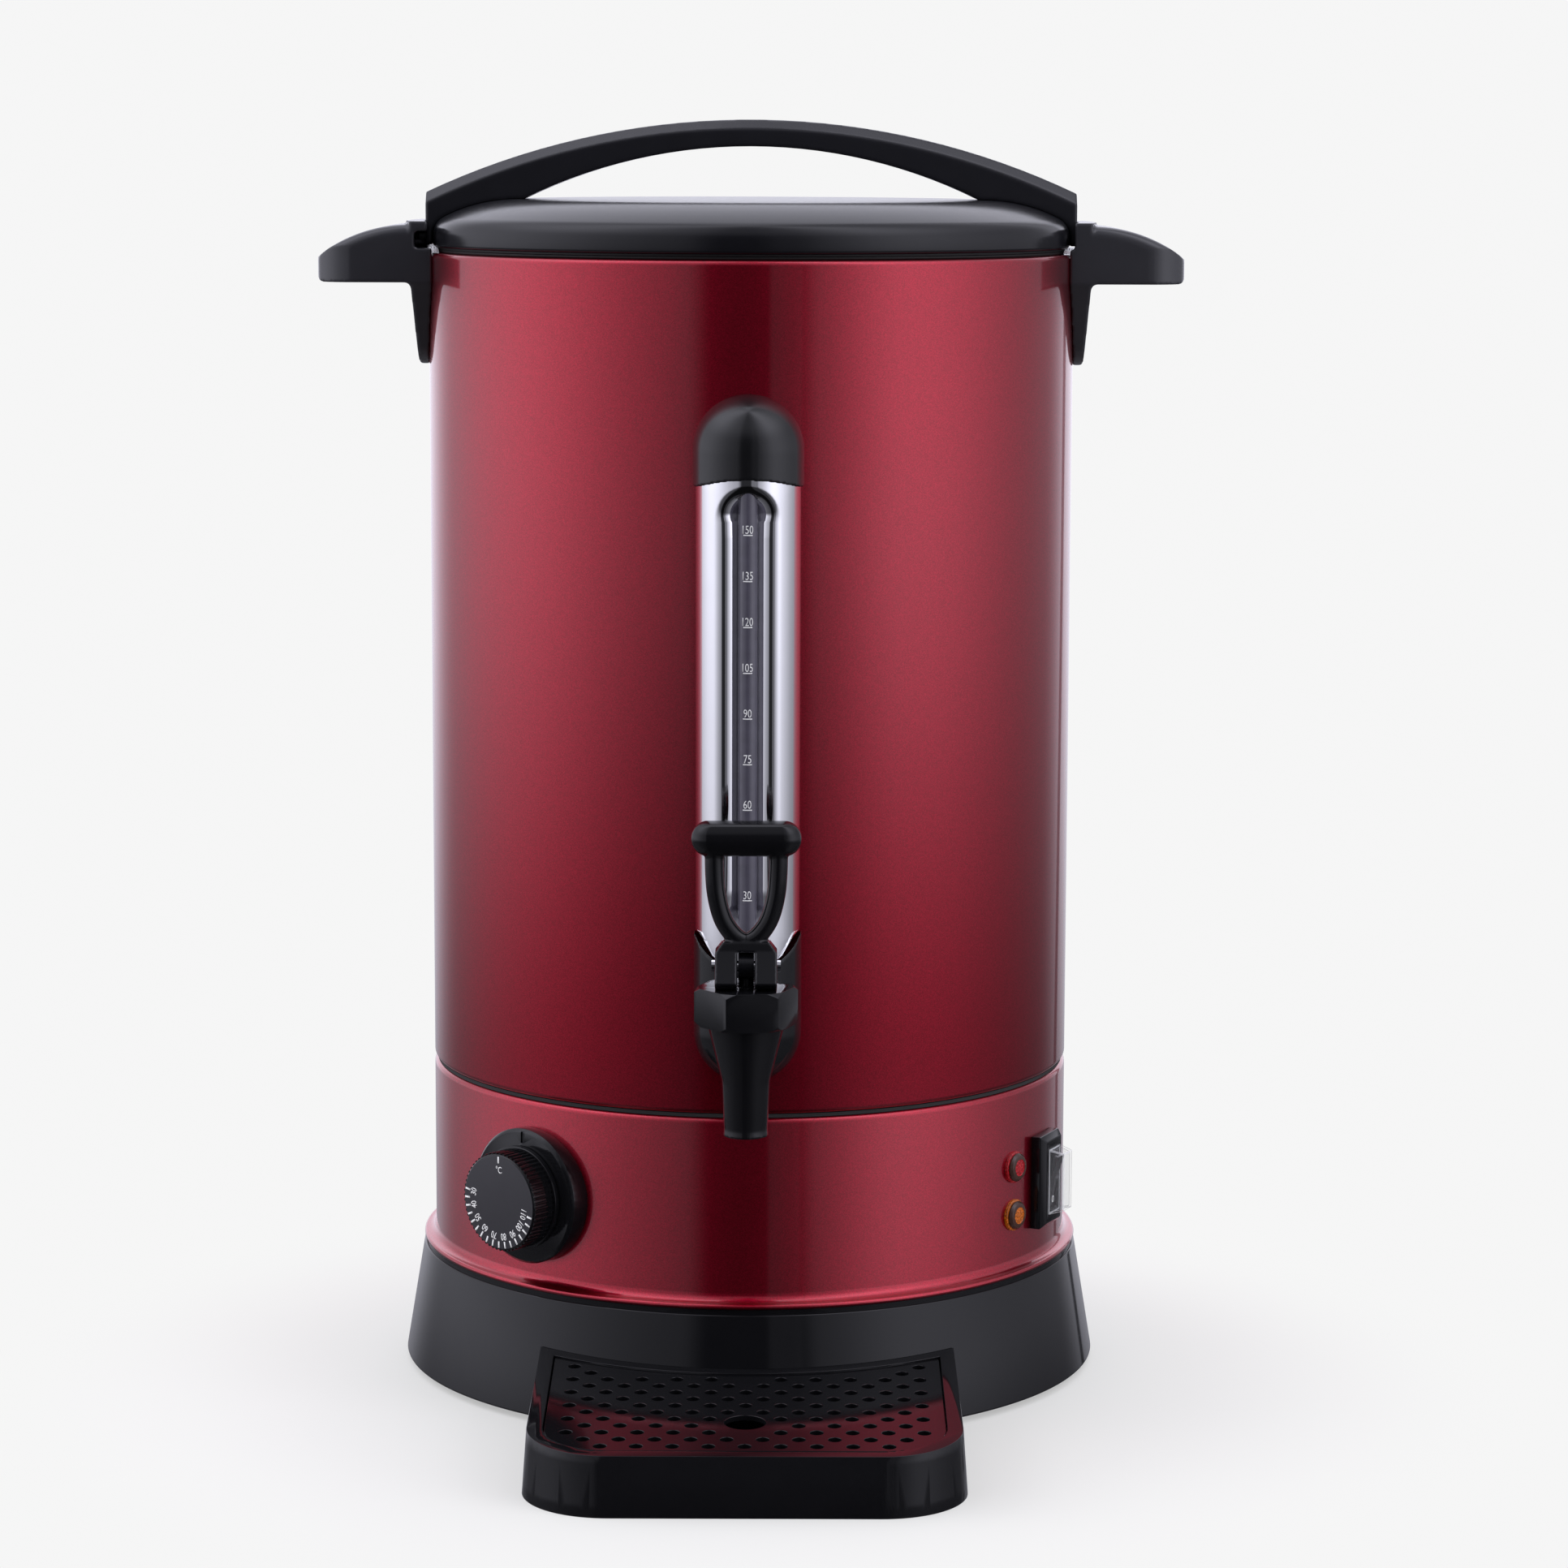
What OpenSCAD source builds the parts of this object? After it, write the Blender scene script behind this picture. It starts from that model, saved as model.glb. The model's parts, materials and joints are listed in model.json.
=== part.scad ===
// Electric urn for hot drinks: a red sheet steel body on a black base, with a tap, a level gauge,
// a thermostat, a twist-lock lid and a drip tray. Millimetres, +Z up, the tap faces -Y.

/* [Body] */
// Outer radius of the shell and of the lower housing
body_r = 150; // [140:1:165]
// Sheet thickness of the shell and of the lower housing
sheet_t = 1; // [0.8:0.1:1.5]
// Height of the seam between the lower housing and the shell
seam_z = 146; // [140:1:156]
// Width of the seam, which the gasket fills
seam_gap = 1.6; // [1:0.1:3]
// Bend radius of the sheet's turned-in edges
sheet_bend = 2.5; // [2:0.1:4]
// Width of the turned-in flanges at the seam
seam_flange = 9; // [7:0.5:14]
// Height of the vessel's rim, on which the lid's seal lies
rim_z = 526.2; // [490:0.1:560]

/* [Base] */
// Height of the rubber feet
foot_h = 6; // [5:0.5:9]
// Radius of a rubber foot
foot_r = 11; // [8:0.5:13]
// Height of the skirt's lower edge over the floor
skirt_lift = 3; // [1:0.5:4.5]
// Height of the skirt
skirt_h = 53.5; // [45:0.5:60]
// How far the skirt's lower edge stands out past the body
skirt_flare = 14.4; // [11:0.2:20]
// How far the skirt's upper edge stands out past the body
skirt_lip = 5.5; // [4.5:0.1:7]
// Wall thickness of the moulded base and tray
mould_t = 3; // [2:0.1:4]
// Thickness of the base plate
plate_t = 2; // [1:0.1:3]
// Height of the step that carries the housing's rolled hem
hem_step = 2.2; // [1:0.1:3]
// Radius of the rolled hem at the housing's lower edge
hem_r = 1.3; // [1:0.1:2]

/* [Vessel and heater] */
// Distance from the shell's outside to the vessel's outside
vessel_gap = 8; // [6.5:0.5:14]
// Sheet thickness of the vessel
vessel_t = 0.8; // [0.6:0.1:1.2]
// Height of the vessel's floor over the seam
floor_rise = 19; // [12:0.5:26]
// Thickness of the vessel's folded rim, which lies on the shell's turned-in top edge
rim_hem = 1.6; // [1:0.1:3]
// How far the vessel's rim lies inside the body's radius
rim_inset = 4.5; // [3:0.1:6]
// Radius of the heater plate
heater_r = 95; // [80:1:110]
// Thickness of the heater plate
heater_t = 8; // [6:0.5:10]
// Radius of the ring that the heating tube runs on
element_ring_r = 70; // [58:1:78]
// Radius of the heating tube
element_r = 4; // [3:0.1:4.5]
// Radius of the tie rod that holds the base to the vessel
tie_r = 4; // [3:0.1:5]

/* [Lid] */
// How far the lid's edge lies inside the body's radius
lid_inset = 2; // [1:0.1:4]
// Height of the lid's upright edge
lid_edge_h = 11; // [8:0.5:14]
// Width of the lid's rounded shoulder
lid_shoulder = 39; // [30:1:48]
// Rise of the lid's rounded shoulder
lid_rise = 11; // [8:0.5:14]
// Radius of the lid's rounded edge
lid_round = 9; // [6:0.5:10]
// Wall thickness of the lid
lid_t = 2.5; // [2:0.1:3.5]
// Thickness of the lid's seal
seal_t = 0.8; // [0.6:0.1:2.5]
// Depth of the seal's lip inside the vessel
seal_lip_h = 8; // [5:0.5:14]
// Height of the lid handle's top over the lid
arch_rise = 36.7; // [32:0.1:45]
// Radius of the lid handle's top curve
arch_r = 355; // [330:1:420]
// Radius of the curve under the lid handle
arch_under_r = 240; // [225:1:260]
// Thickness of the lid handle at its middle
arch_t = 12.3; // [10:0.1:15]
// Depth of the lid handle, front to back
arch_d = 29; // [22:0.5:36]
// Chamfer along the lid handle's upper edges
arch_chamfer = 4.5; // [2:0.1:6]
// How far the lid handle's legs stand out past the lid's edge
leg_t = 2.8; // [2.5:0.1:5]
// How far a locking tab stands out past its leg
tab_reach = 6; // [4:0.1:8]
// Thickness of a locking tab
tab_t = 2.6; // [2:0.1:4]

/* [Side handles] */
// How far a side handle reaches out past the body
grip_reach = 50.5; // [44:0.5:62]
// Width of a side handle, front to back
grip_w = 66; // [56:1:76]
// Height of a side handle's underside below the rim
grip_drop = 15.2; // [12:0.1:18]
// Radius of a side handle's crowned top
grip_crown_r = 70; // [60:1:90]
// Corner radius of a side handle, seen from above
grip_corner = 18; // [10:1:26]
// Rounding along a side handle's upper edges
grip_round = 5; // [3:0.5:7]
// Fillet between a side handle's underside and its bracket
grip_fillet = 2.5; // [1:0.5:4]
// Thickness of the bracket on the body
bracket_t = 6.6; // [5.6:0.1:9]
// How much thinner the bracket is at its lower end
bracket_taper = 2; // [0:0.1:3]
// Height of the bracket's lower end below the rim
bracket_drop = 53.7; // [46:0.1:64]
// Radius of the bracket's rounded lower end
bracket_end_r = 19; // [14:0.5:24]
// Height of the lock's lip over the rim
lip_top = 12.8; // [12:0.1:16]
// Thickness of the lock's lip
lip_t = 4.5; // [3.5:0.1:6]
// Thickness of the wall behind the lock's notch
lock_wall = 2.5; // [2:0.1:4]

/* [Gauge] */
// Radius of the gauge's half-round shield
shield_r = 23; // [20:0.2:26]
// Sheet thickness of the shield and of the trough
shield_t = 0.8; // [0.6:0.1:1.2]
// Width of the window in the shield
window_w = 21; // [16:0.5:24]
// Height of the window's lower end
window_z0 = 234; // [228:1:245]
// Height of the window's upper end
window_z1 = 423; // [400:1:425]
// Outer radius of the gauge's glass tube
glass_r = 4.2; // [3.5:0.1:5]
// Wall thickness of the glass tube
glass_t = 1.2; // [0.8:0.1:1.5]
// Height of the cap's top
cap_top = 467; // [458:0.5:480]
// Height of the cap's lower corners
cap_z = 427; // [426:0.5:434]
// Rise of the arched edge under the cap
cap_arch = 3.7; // [1:0.1:5]
// Wall thickness of the cap beside the shield
cap_t = 1.4; // [1:0.1:3]
// How far the holder stands out past the shield
holder_t = 0.9; // [0.4:0.1:2]
// Height of the holder's rounded lower end
holder_z = 162; // [154:1:166]
// Height of the holder's horns
holder_top = 231; // [228:0.5:234]
// Depth of the curved cut between the horns
holder_cut = 15; // [10:0.5:17]

/* [Tap] */
// Distance of the tap's upright axis from the body's surface
tap_reach = 70; // [64:0.5:80]
// Height of the tap's shank
shank_z = 191; // [188:0.5:192]
// Outer radius of the threaded shank
shank_r = 8; // [7:0.1:9]
// Radius of the shank's bore
shank_bore_r = 4; // [3:0.1:4.5]
// Height of the spout's tip
spout_z = 153.4; // [145:0.1:158]
// Outer radius of the spout
spout_r = 9.4; // [8.5:0.1:10.5]
// Radius of the spout's bore
spout_bore_r = 6; // [5:0.1:6.8]
// Radius of the barrel under the bonnet
barrel_r = 16.5; // [15.5:0.1:18]
// Height of the bonnet's underside
bonnet_z = 201.8; // [200:0.1:204]
// Height of the bonnet
bonnet_h = 16.6; // [15:0.1:20]
// Radius over the bonnet's corners
bonnet_r = 22.4; // [21:0.1:24]
// Turn of the bonnet's corners about its axis
bonnet_turn = 8; // [0:1:30]
// Height of the lever's pin over the bonnet
pin_rise = 8.8; // [8:0.1:10]
// Radius of the lever's pin
pin_r = 2.5; // [2:0.1:2.7]
// Length of the lever's pin
pin_l = 29.5; // [28:0.1:34]
// Radius of the stem
stem_r = 3.2; // [2.6:0.1:3.4]
// Angle that the lever swings forward
lever_throw = 40; // [25:1:45]
// Lift of the stem for one radian of swing
lever_lift = 8; // [5:0.1:9]
// Width of the lever's yoke
yoke_w = 26.5; // [24:0.1:28]
// Width of the yoke's slot
yoke_slot = 7.6; // [7.6:0.1:10]
// Height of the lever's top over its pin
lever_h = 62.8; // [52:0.2:75]
// Length of the bar on top of the lever
lever_bar_l = 47.3; // [42:0.1:56]
// Radius of the bar on top of the lever
lever_bar_r = 7.7; // [6:0.1:9]
// Thickness of the lever's yoke at its top, front to back
lever_t = 9; // [7:0.1:11]
// Radius of the lever's looped arms
arm_bar_r = 4.1; // [3.5:0.1:4.4]

/* [Controls] */
// Angle of the thermostat from the front, to the right
knob_az = -40.6; // [-50:0.1:-30]
// Height of the thermostat's axis
knob_z = 102; // [98:0.5:106]
// Radius of the thermostat's bezel
bezel_r = 31; // [27:0.5:33]
// How far the bezel's face stands out past the body
bezel_h = 7; // [5:0.5:10]
// Radius of the thermostat knob's face
knob_r = 22.3; // [18:0.1:25]
// Depth of the thermostat knob
knob_h = 15.3; // [13:0.1:24]
// Radius of the thermostat's shaft
shaft_r = 3; // [2.5:0.1:3.5]
// Angle of the lamps from the front, to the right
lamp_az = 54.5; // [50:0.1:56]
// Height of the upper lamp
lamp_upper_z = 109; // [105:0.5:116]
// Height of the lower lamp
lamp_lower_z = 86.5; // [80:0.5:90]
// Radius of a lamp's head
lamp_r = 7.3; // [6:0.1:7.6]
// Angle of the switch from the front, to the right
switch_az = 65.2; // [63:0.1:72]
// Height of the switch's middle
switch_z = 98.2; // [94:0.1:104]
// Width of the switch's surround
surround_w = 23; // [20:0.5:24]
// Height of the switch's surround
surround_l = 43.6; // [38:0.2:48]
// How far the surround's face stands out past the body
surround_h = 6.5; // [5:0.5:9]
// Width of the switch's clear boot
boot_w = 13.8; // [13:0.1:16]
// Height of the switch's clear boot
boot_l = 31; // [29:0.5:34]
// Depth of the switch's clear boot
boot_h = 7; // [6.5:0.1:9]
// Angle that the rocker swings
rocker_throw = 20; // [12:1:22]
// Height of the cord's gland at the back
gland_z = 90; // [84:0.5:110]
// Radius of the gland's bore
gland_bore_r = 3.6; // [3:0.1:4.5]

/* [Drip tray] */
// How far the tray reaches out past the skirt's lower edge
tray_d = 109.6; // [95:0.2:125]
// Width of the tray at the floor
tray_w = 192; // [170:1:210]
// How far each side of the tray leans in towards its top
tray_draft = 2.5; // [0:0.1:5]
// Corner radius of the tray's front at the floor
tray_corner = 38; // [25:1:48]
// Height of the tray's rim at its back corners
tray_back_h = 35; // [30:0.5:42]
// Height of the tray's rim at its front
tray_front_h = 26.5; // [20:0.5:29]
// Width of the tray's rim
tray_rim = 9; // [6.5:0.5:12]
// Thickness of the grate
grate_t = 2.5; // [2:0.1:4]
// How far the grate lies below the tray's rim
grate_sink = 1; // [0.5:0.1:2]
// Distance between holes in a row of the grate
hole_pitch_x = 15.4; // [12:0.2:20]
// Distance between rows of holes in the grate
hole_pitch_y = 8.6; // [7:0.2:12]
// Radius of a hole in the grate
hole_r = 2.85; // [1.5:0.05:3.2]
// Radius of the grate's middle hole
drain_r = 9; // [6:0.5:12]

/* [Hidden] */
$fn = 96;

candy_red = [0.55, 0.03, 0.09];
gloss_black = [0.05, 0.05, 0.06];
satin_black = [0.09, 0.09, 0.1];
bright_steel = [0.82, 0.82, 0.84];
dull_steel = [0.6, 0.61, 0.63];
cast_grey = [0.68, 0.69, 0.7];
rubber_grey = [0.16, 0.16, 0.17];
seal_white = [0.85, 0.85, 0.83];
clear_pale = [0.85, 0.9, 0.92, 0.4];
lamp_red_tone = [0.75, 0.05, 0.05];
lamp_amber_tone = [0.9, 0.5, 0.08];

// Clearances
fit_gap = 0.2;
run_gap = 0.06;
slide_gap = 0.5;
cut = 1;
wall_fn = 4 * $fn;

// Levels and radii that follow from the driving sizes
axis_y = tray_d / 2;
skirt_r0 = body_r + skirt_flare;
skirt_r1 = body_r + skirt_lip;
skirt_z1 = skirt_lift + skirt_h;
skirt_slope = (skirt_r0 - skirt_r1) / skirt_h;
plate_z1 = foot_h + plate_t;
plate_r = skirt_r0 - mould_t - skirt_slope * (plate_z1 - skirt_lift) - slide_gap;
housing_z0 = skirt_z1 + hem_step;
cove_r = skirt_lip - hem_r;
housing_z1 = seam_z - seam_gap / 2;
shell_z0 = seam_z + seam_gap / 2;
shell_z1 = rim_z - rim_hem;
inside_r = body_r - sheet_t;
flange_r = body_r - seam_flange;
vessel_r = body_r - vessel_gap;
vessel_in_r = vessel_r - vessel_t;
floor_z = seam_z + floor_rise;
heater_z = floor_z - heater_t;
rim_r = body_r - rim_inset;
lid_r = body_r - lid_inset;
lid_z = rim_z + seal_t;
lid_top = lid_z + lid_edge_h + lid_rise;
lid_flat_r = lid_r - lid_shoulder;
lid_curve_r = (lid_shoulder * lid_shoulder + lid_rise * lid_rise) / (2 * lid_rise);
lid_round_x = lid_shoulder - lid_round;
lid_round_z = lid_top - lid_curve_r + sqrt(pow(lid_curve_r - lid_round, 2) - pow(lid_round_x, 2));
lid_round_angle = acos(lid_round_x / (lid_curve_r - lid_round));
lid_rim_w = 6;
lid_screw_r = lid_flat_r + lid_shoulder / 3;
lid_screw_l = lid_edge_h + lid_rise + 4;
seal_lip_t = 3;
arch_top = lid_top + arch_rise;
leg_r = lid_r + leg_t;
leg_lift = 1;
leg_z = lid_z + leg_lift;
tab_inset = 2;
tab_w = arch_d - 2 * tab_inset;
leg_clear_r = norm([leg_r, arch_d / 2]) + slide_gap;
tab_clear_r = norm([leg_r + tab_reach, tab_w / 2]) + slide_gap;
lip_z1 = rim_z + lip_top;
notch_z1 = lip_z1 - lip_t;
lip_r = tab_clear_r + lock_wall;
lock_floor = 0.5;

// Small fasteners
screw_r = 2;
screw_head_r = 4;
screw_head_h = 2.4;
boss_r = 6;
boss_inset = 10;
boss_ring_r = body_r - boss_inset;
base_screw_l = 14;
boss_depth = base_screw_l + 4;
boss_angles = [60, 120, 240, 300];
foot_angles = [30, 150, 210, 330];
foot_stem_r = 3.5;
foot_barb_r = 5;
vent_count = 24;

// Gauge
glass_y = body_r + shield_r - glass_r - shield_t - slide_gap;
trough_r = window_w / 2;
trough_y = body_r + sqrt(pow(shield_r - shield_t, 2) - pow(window_w / 2, 2));
cap_r = shield_r + cap_t;
cap_sink = 0.4;
cap_dome_z = cap_top - cap_r;
cap_arch_r = (shield_r * shield_r + cap_arch * cap_arch) / (2 * cap_arch);
holder_r = shield_r + holder_t;
holder_cut_r = (holder_r * holder_r + holder_cut * holder_cut) / (2 * holder_cut);
holder_cut_z = holder_top - holder_cut + holder_cut_r;
glass_z1 = cap_dome_z + 5;
seal_wall = 1.2;
seal_h = 6;
seal_foot = 3;

// Tap
tap_y = body_r + tap_reach;
collar_y = body_r + shield_r - 2;
collar_r = 12.5;
collar_t = 5;
arm_r = shank_r + 1.5;
seal_z0 = shank_z + collar_r + fit_gap;
glass_z0 = seal_z0 + seal_foot;
shank_end = vessel_in_r - 16;
spacer_r = shank_r + 4;
washer_r = shank_r + 6;
washer_t = 2.2;
washer_front = sqrt(vessel_in_r * vessel_in_r - washer_r * washer_r);
backnut_h = 7;
backnut_r = washer_r + 0.4;
seat_z = shank_z - shank_bore_r - 1.5;
chamber_r = barrel_r - 6.5;
neck_r = barrel_r - 1.5;
bonnet_top = bonnet_z + bonnet_h;
bonnet_roof = 4;
neck_top = bonnet_top - bonnet_roof;
spout_l = 24;
spout_lean = 1;
spout_lip = 0.3;
spout_lip_h = 3;
pin_z = bonnet_top + pin_rise;
seat_h = 10;
seat_r = chamber_r - slide_gap;
eye_r = pin_r + 3.5;
cam_gap = 0.15;
cam_rest = pin_rise - cam_gap;
spring_wire = 1.2;
spring_r = (stem_r + chamber_r) / 2;
spring_z0 = seat_z + seat_h;
spring_turns = 5;

// Controls
bezel_face = body_r + bezel_h;
knob_gap = 0.4;
knob_back = bezel_face + knob_gap;
knob_face = bezel_face + knob_h;
neck_bush_r = shaft_r + 2.2;
thermostat_w = 44;
thermostat_l = 36;
thermostat_d = 28;
thermostat_front = sqrt(inside_r * inside_r - thermostat_w * thermostat_w / 4);
shaft_depth = 14;
shaft_end = knob_face - 7;
knurl_count = 60;
lamp_stem_r = 5;
lamp_nut_r = 8;
surround_face = body_r + surround_h;
opening_w = boot_w - 0.8;
opening_l = boot_l - 2;
rocker_w = opening_w - 4.6;
rocker_l = opening_l - 4.8;
rocker_pivot = surround_face - 1;
boot_t = 0.8;
boot_taper = 3.8;
gland_r = 10;
gland_neck_r = 7.5;
gland_tip_r = 6;
gland_flange = 4;
gland_out = 13;
gland_in = 15;
gland_nut_h = 6;
gland_nut_seat = sqrt(inside_r * inside_r - pow(gland_r + 1, 2));

// Tray
tray_front = skirt_r0 + tray_d;
rim_back = sqrt(pow(skirt_at(tray_back_h), 2) - pow(tray_w / 2 - tray_draft, 2));
rim_run = tray_front - rim_back;
rim_slope = atan((tray_back_h - tray_front_h) / rim_run);
grate_ledge = 2.5;
grate_inset = tray_rim - grate_ledge;
tongue_w = 60;
tongue_t = 3;
tongue_l = 15;
tongue_z = plate_z1 + 2;
tongue_slot_l = 2.5 * tongue_l;
spout_hole_y = tap_y + 7;
first_row = 8;
hole_edge = 2.5;

// Radius of the skirt's outside at a height
function skirt_at(z) = skirt_r0 - skirt_slope * (z - skirt_lift);

// Height of the lid's outside at a radius on its shoulder
function lid_at(r) = lid_top - lid_curve_r + sqrt(pow(lid_curve_r, 2) - pow(r - lid_flat_r, 2));

// Point on the lever's cam for a swing angle, measured from the pin
function cam_point(a) =
    let (h = cam_rest + lever_lift * a * PI / 180)
    [-h * sin(a) - lever_lift * cos(a), -h * cos(a) + lever_lift * sin(a)];

// Moves shapes drawn about the body's axis to their place in the part's frame
module place() {
    translate([0, axis_y, 0]) children();
}

// Faces +Z outwards from the body's axis, with +Y up, at an angle from the front and a height
module on_wall(az, z) {
    place() rotate(az) translate([0, 0, z]) rotate([90, 0, 0]) children();
}

// Repeats shapes at a list of angles on a ring round the body's axis
module around(angles, r, z) {
    for (a = angles) {
        place() rotate(a) translate([0, -r, z]) children();
    }
}

// Upright disc about the body's axis
module disc(r, z0, z1) {
    place() translate([0, 0, z0]) cylinder(r = r, h = z1 - z0);
}

// Upright ring about the body's axis
module ring(r_out, r_in, z0, z1) {
    difference() {
        disc(r_out, z0, z1);
        disc(r_in, z0 - cut, z1 + cut);
    }
}

// Washer in a wall's frame, between two distances from the body's axis
module washer(r_out, r_in, z0, z1) {
    translate([0, 0, z0]) difference() {
        cylinder(r = r_out, h = z1 - z0);
        translate([0, 0, -cut]) cylinder(r = r_in, h = z1 - z0 + 2 * cut);
    }
}

// Section of a sheet's bend, in the first quadrant
module bend_section(radius, t) {
    intersection() {
        difference() {
            circle(radius);
            circle(radius - t);
        }
        square(radius);
    }
}

// Rectangle with two rounded corners on its lower edge, centred on X, with its lower edge at Y = 0
module round_foot_plate(w, l, radius) {
    translate([-w / 2, radius]) square([w, l - radius]);
    translate([radius - w / 2, 0]) square([w - 2 * radius, radius + cut]);
    for (side = [-1, 1]) {
        translate([side * (w / 2 - radius), radius]) circle(radius);
    }
}

// Rod between two points
module rod(p, q, r) {
    d = q - p;
    translate(p) rotate([0, acos(d.z / norm(d)), atan2(d.y, d.x)]) cylinder(r = r, h = norm(d));
}

// Screw with a domed head at Z = 0, its shank along +Z
module screw(r, length, head_r, head_h) {
    cylinder(r = r, h = length);
    translate([0, 0, -head_h]) rotate_extrude() intersection() {
        square([head_r, head_h]);
        translate([0, head_h]) circle(norm([head_r, head_h]) - 0.6);
    }
}

module outer_shell() {
    color(candy_red) difference() {
        place() rotate_extrude() {
            translate([inside_r, shell_z0 + sheet_bend])
                square([sheet_t, shell_z1 - shell_z0 - 2 * sheet_bend]);
            translate([body_r - sheet_bend, shell_z0 + sheet_bend])
                mirror([0, 1]) bend_section(sheet_bend, sheet_t);
            translate([flange_r, shell_z0]) square([seam_flange - sheet_bend, sheet_t]);
            translate([body_r - sheet_bend, shell_z1 - sheet_bend]) bend_section(sheet_bend, sheet_t);
            translate([vessel_r + fit_gap, shell_z1 - sheet_t])
                square([vessel_gap - fit_gap - sheet_bend, sheet_t]);
        }
        on_wall(0, shank_z) cylinder(r = shank_r + fit_gap, h = tap_y);
        shell_screw_holes(screw_r + fit_gap);
    }
}

module lower_housing() {
    color(candy_red) difference() {
        place() rotate_extrude() {
            translate([inside_r, housing_z0]) square([sheet_t, housing_z1 - housing_z0 - sheet_bend]);
            translate([body_r - sheet_bend, housing_z1 - sheet_bend]) bend_section(sheet_bend, sheet_t);
            translate([flange_r, housing_z1 - sheet_t]) square([seam_flange - sheet_bend, sheet_t]);
            translate([body_r - sheet_t / 2, housing_z0]) difference() {
                square([cove_r + sheet_t / 2, 2 * hem_r + cove_r]);
                translate([cove_r + sheet_t / 2, 2 * hem_r + cove_r]) circle(cove_r);
            }
            translate([skirt_r1 - hem_r, housing_z0 + hem_r]) circle(hem_r);
        }
        on_wall(knob_az, knob_z) cylinder(r = neck_bush_r + fit_gap, h = 2 * body_r);
        for (z = [lamp_lower_z, lamp_upper_z]) {
            on_wall(lamp_az, z) cylinder(r = lamp_stem_r + fit_gap, h = 2 * body_r);
        }
        on_wall(switch_az, switch_z) translate([0, 0, body_r])
            cube([opening_w, opening_l, 2 * surround_l], center = true);
        on_wall(180, gland_z) cylinder(r = gland_neck_r + fit_gap, h = 2 * body_r);
    }
}

module seam_gasket() {
    color(rubber_grey) ring(body_r - sheet_bend + 1, flange_r, housing_z1, shell_z0);
}

module base_skirt() {
    ledge_r = skirt_r1 - hem_r;
    spigot_r = inside_r - fit_gap;
    deck_z = skirt_z1 + hem_step;
    deck_in = boss_ring_r - boss_r - 2;
    color(gloss_black) difference() {
        union() {
            place() rotate_extrude() polygon([
                [skirt_r0, skirt_lift],
                [skirt_r1, skirt_z1],
                [ledge_r, skirt_z1],
                [ledge_r, deck_z],
                [spigot_r, deck_z],
                [spigot_r, deck_z + 10],
                [spigot_r - mould_t, deck_z + 10],
                [spigot_r - mould_t, skirt_z1],
                [deck_in, skirt_z1],
                [deck_in, skirt_z1 - mould_t],
                [skirt_r1 - mould_t, skirt_z1 - mould_t],
                [skirt_r0 - mould_t, skirt_lift]
            ]);
            around(boss_angles, boss_ring_r, plate_z1) cylinder(r = boss_r, h = skirt_z1 - plate_z1);
        }
        around(boss_angles, boss_ring_r, plate_z1 - cut) cylinder(r = screw_r, h = boss_depth);
        place() translate([-tongue_w / 2 - slide_gap, -skirt_r0 - cut, tongue_z - slide_gap])
            cube([tongue_w + 2 * slide_gap, tongue_slot_l, tongue_t + 2 * slide_gap]);
    }
}

module base_plate() {
    color(dull_steel) difference() {
        disc(plate_r, foot_h, plate_z1);
        around(boss_angles, boss_ring_r, 0) cylinder(r = screw_r + fit_gap, h = 2 * foot_h + plate_t);
        around(foot_angles, boss_ring_r, 0) cylinder(r = foot_stem_r, h = 2 * foot_h + plate_t);
        disc(tie_r + fit_gap, 0, plate_z1 + cut);
        around([for (i = [0:vent_count - 1]) i * 360 / vent_count], 0.55 * plate_r, 0)
            translate([-2, -11, 0]) cube([4, 22, 2 * foot_h]);
    }
}

module rubber_feet() {
    color(rubber_grey) {
        around(foot_angles, boss_ring_r, 0) {
            cylinder(r = foot_r, h = foot_h);
            cylinder(r = foot_stem_r, h = plate_z1 + 2);
            translate([0, 0, plate_z1]) cylinder(r1 = foot_barb_r, r2 = foot_stem_r, h = 3);
        }
    }
}

module base_screws() {
    color(dull_steel) around(boss_angles, boss_ring_r, foot_h)
        screw(screw_r, base_screw_l, screw_head_r, screw_head_h);
}

module inner_vessel() {
    color(bright_steel) difference() {
        place() rotate_extrude() {
            translate([vessel_in_r, floor_z]) square([vessel_t, rim_z - floor_z]);
            translate([vessel_in_r, shell_z1]) square([rim_r - vessel_in_r, rim_hem]);
        }
        on_wall(0, shank_z) cylinder(r = shank_r + fit_gap, h = tap_y);
    }
}

module vessel_floor() {
    color(bright_steel) disc(vessel_in_r, floor_z, floor_z + 2 * vessel_t);
}

module heater_plate() {
    color(cast_grey) difference() {
        disc(heater_r, heater_z, floor_z);
        disc(tie_r, heater_z - cut, floor_z + cut);
        place() translate([0, 0, heater_z]) rotate_extrude()
            translate([element_ring_r, 0]) circle(element_r);
    }
}

module heater_element() {
    gap_angle = 30;
    tail_l = 5 * element_r;
    color(dull_steel) place() translate([0, 0, heater_z]) rotate(90 + gap_angle / 2) {
        rotate_extrude(angle = 360 - gap_angle) translate([element_ring_r, 0]) circle(element_r);
        for (a = [4, -gap_angle - 4]) {
            rotate(a) translate([element_ring_r, 0, -tail_l]) cylinder(r = element_r - 1, h = tail_l);
        }
    }
}

module thermal_cutout() {
    color(dull_steel) place() translate([heater_r / 3, heater_r / 3, heater_z]) {
        translate([0, 0, -7]) cylinder(r = 8.5, h = 7);
        for (side = [-1, 1]) {
            translate([side * 4 - 0.4, -3, -16]) cube([0.8, 6, 10]);
        }
    }
}

module tie_rod() {
    color(dull_steel) disc(tie_r, foot_h - 5, floor_z);
}

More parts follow.
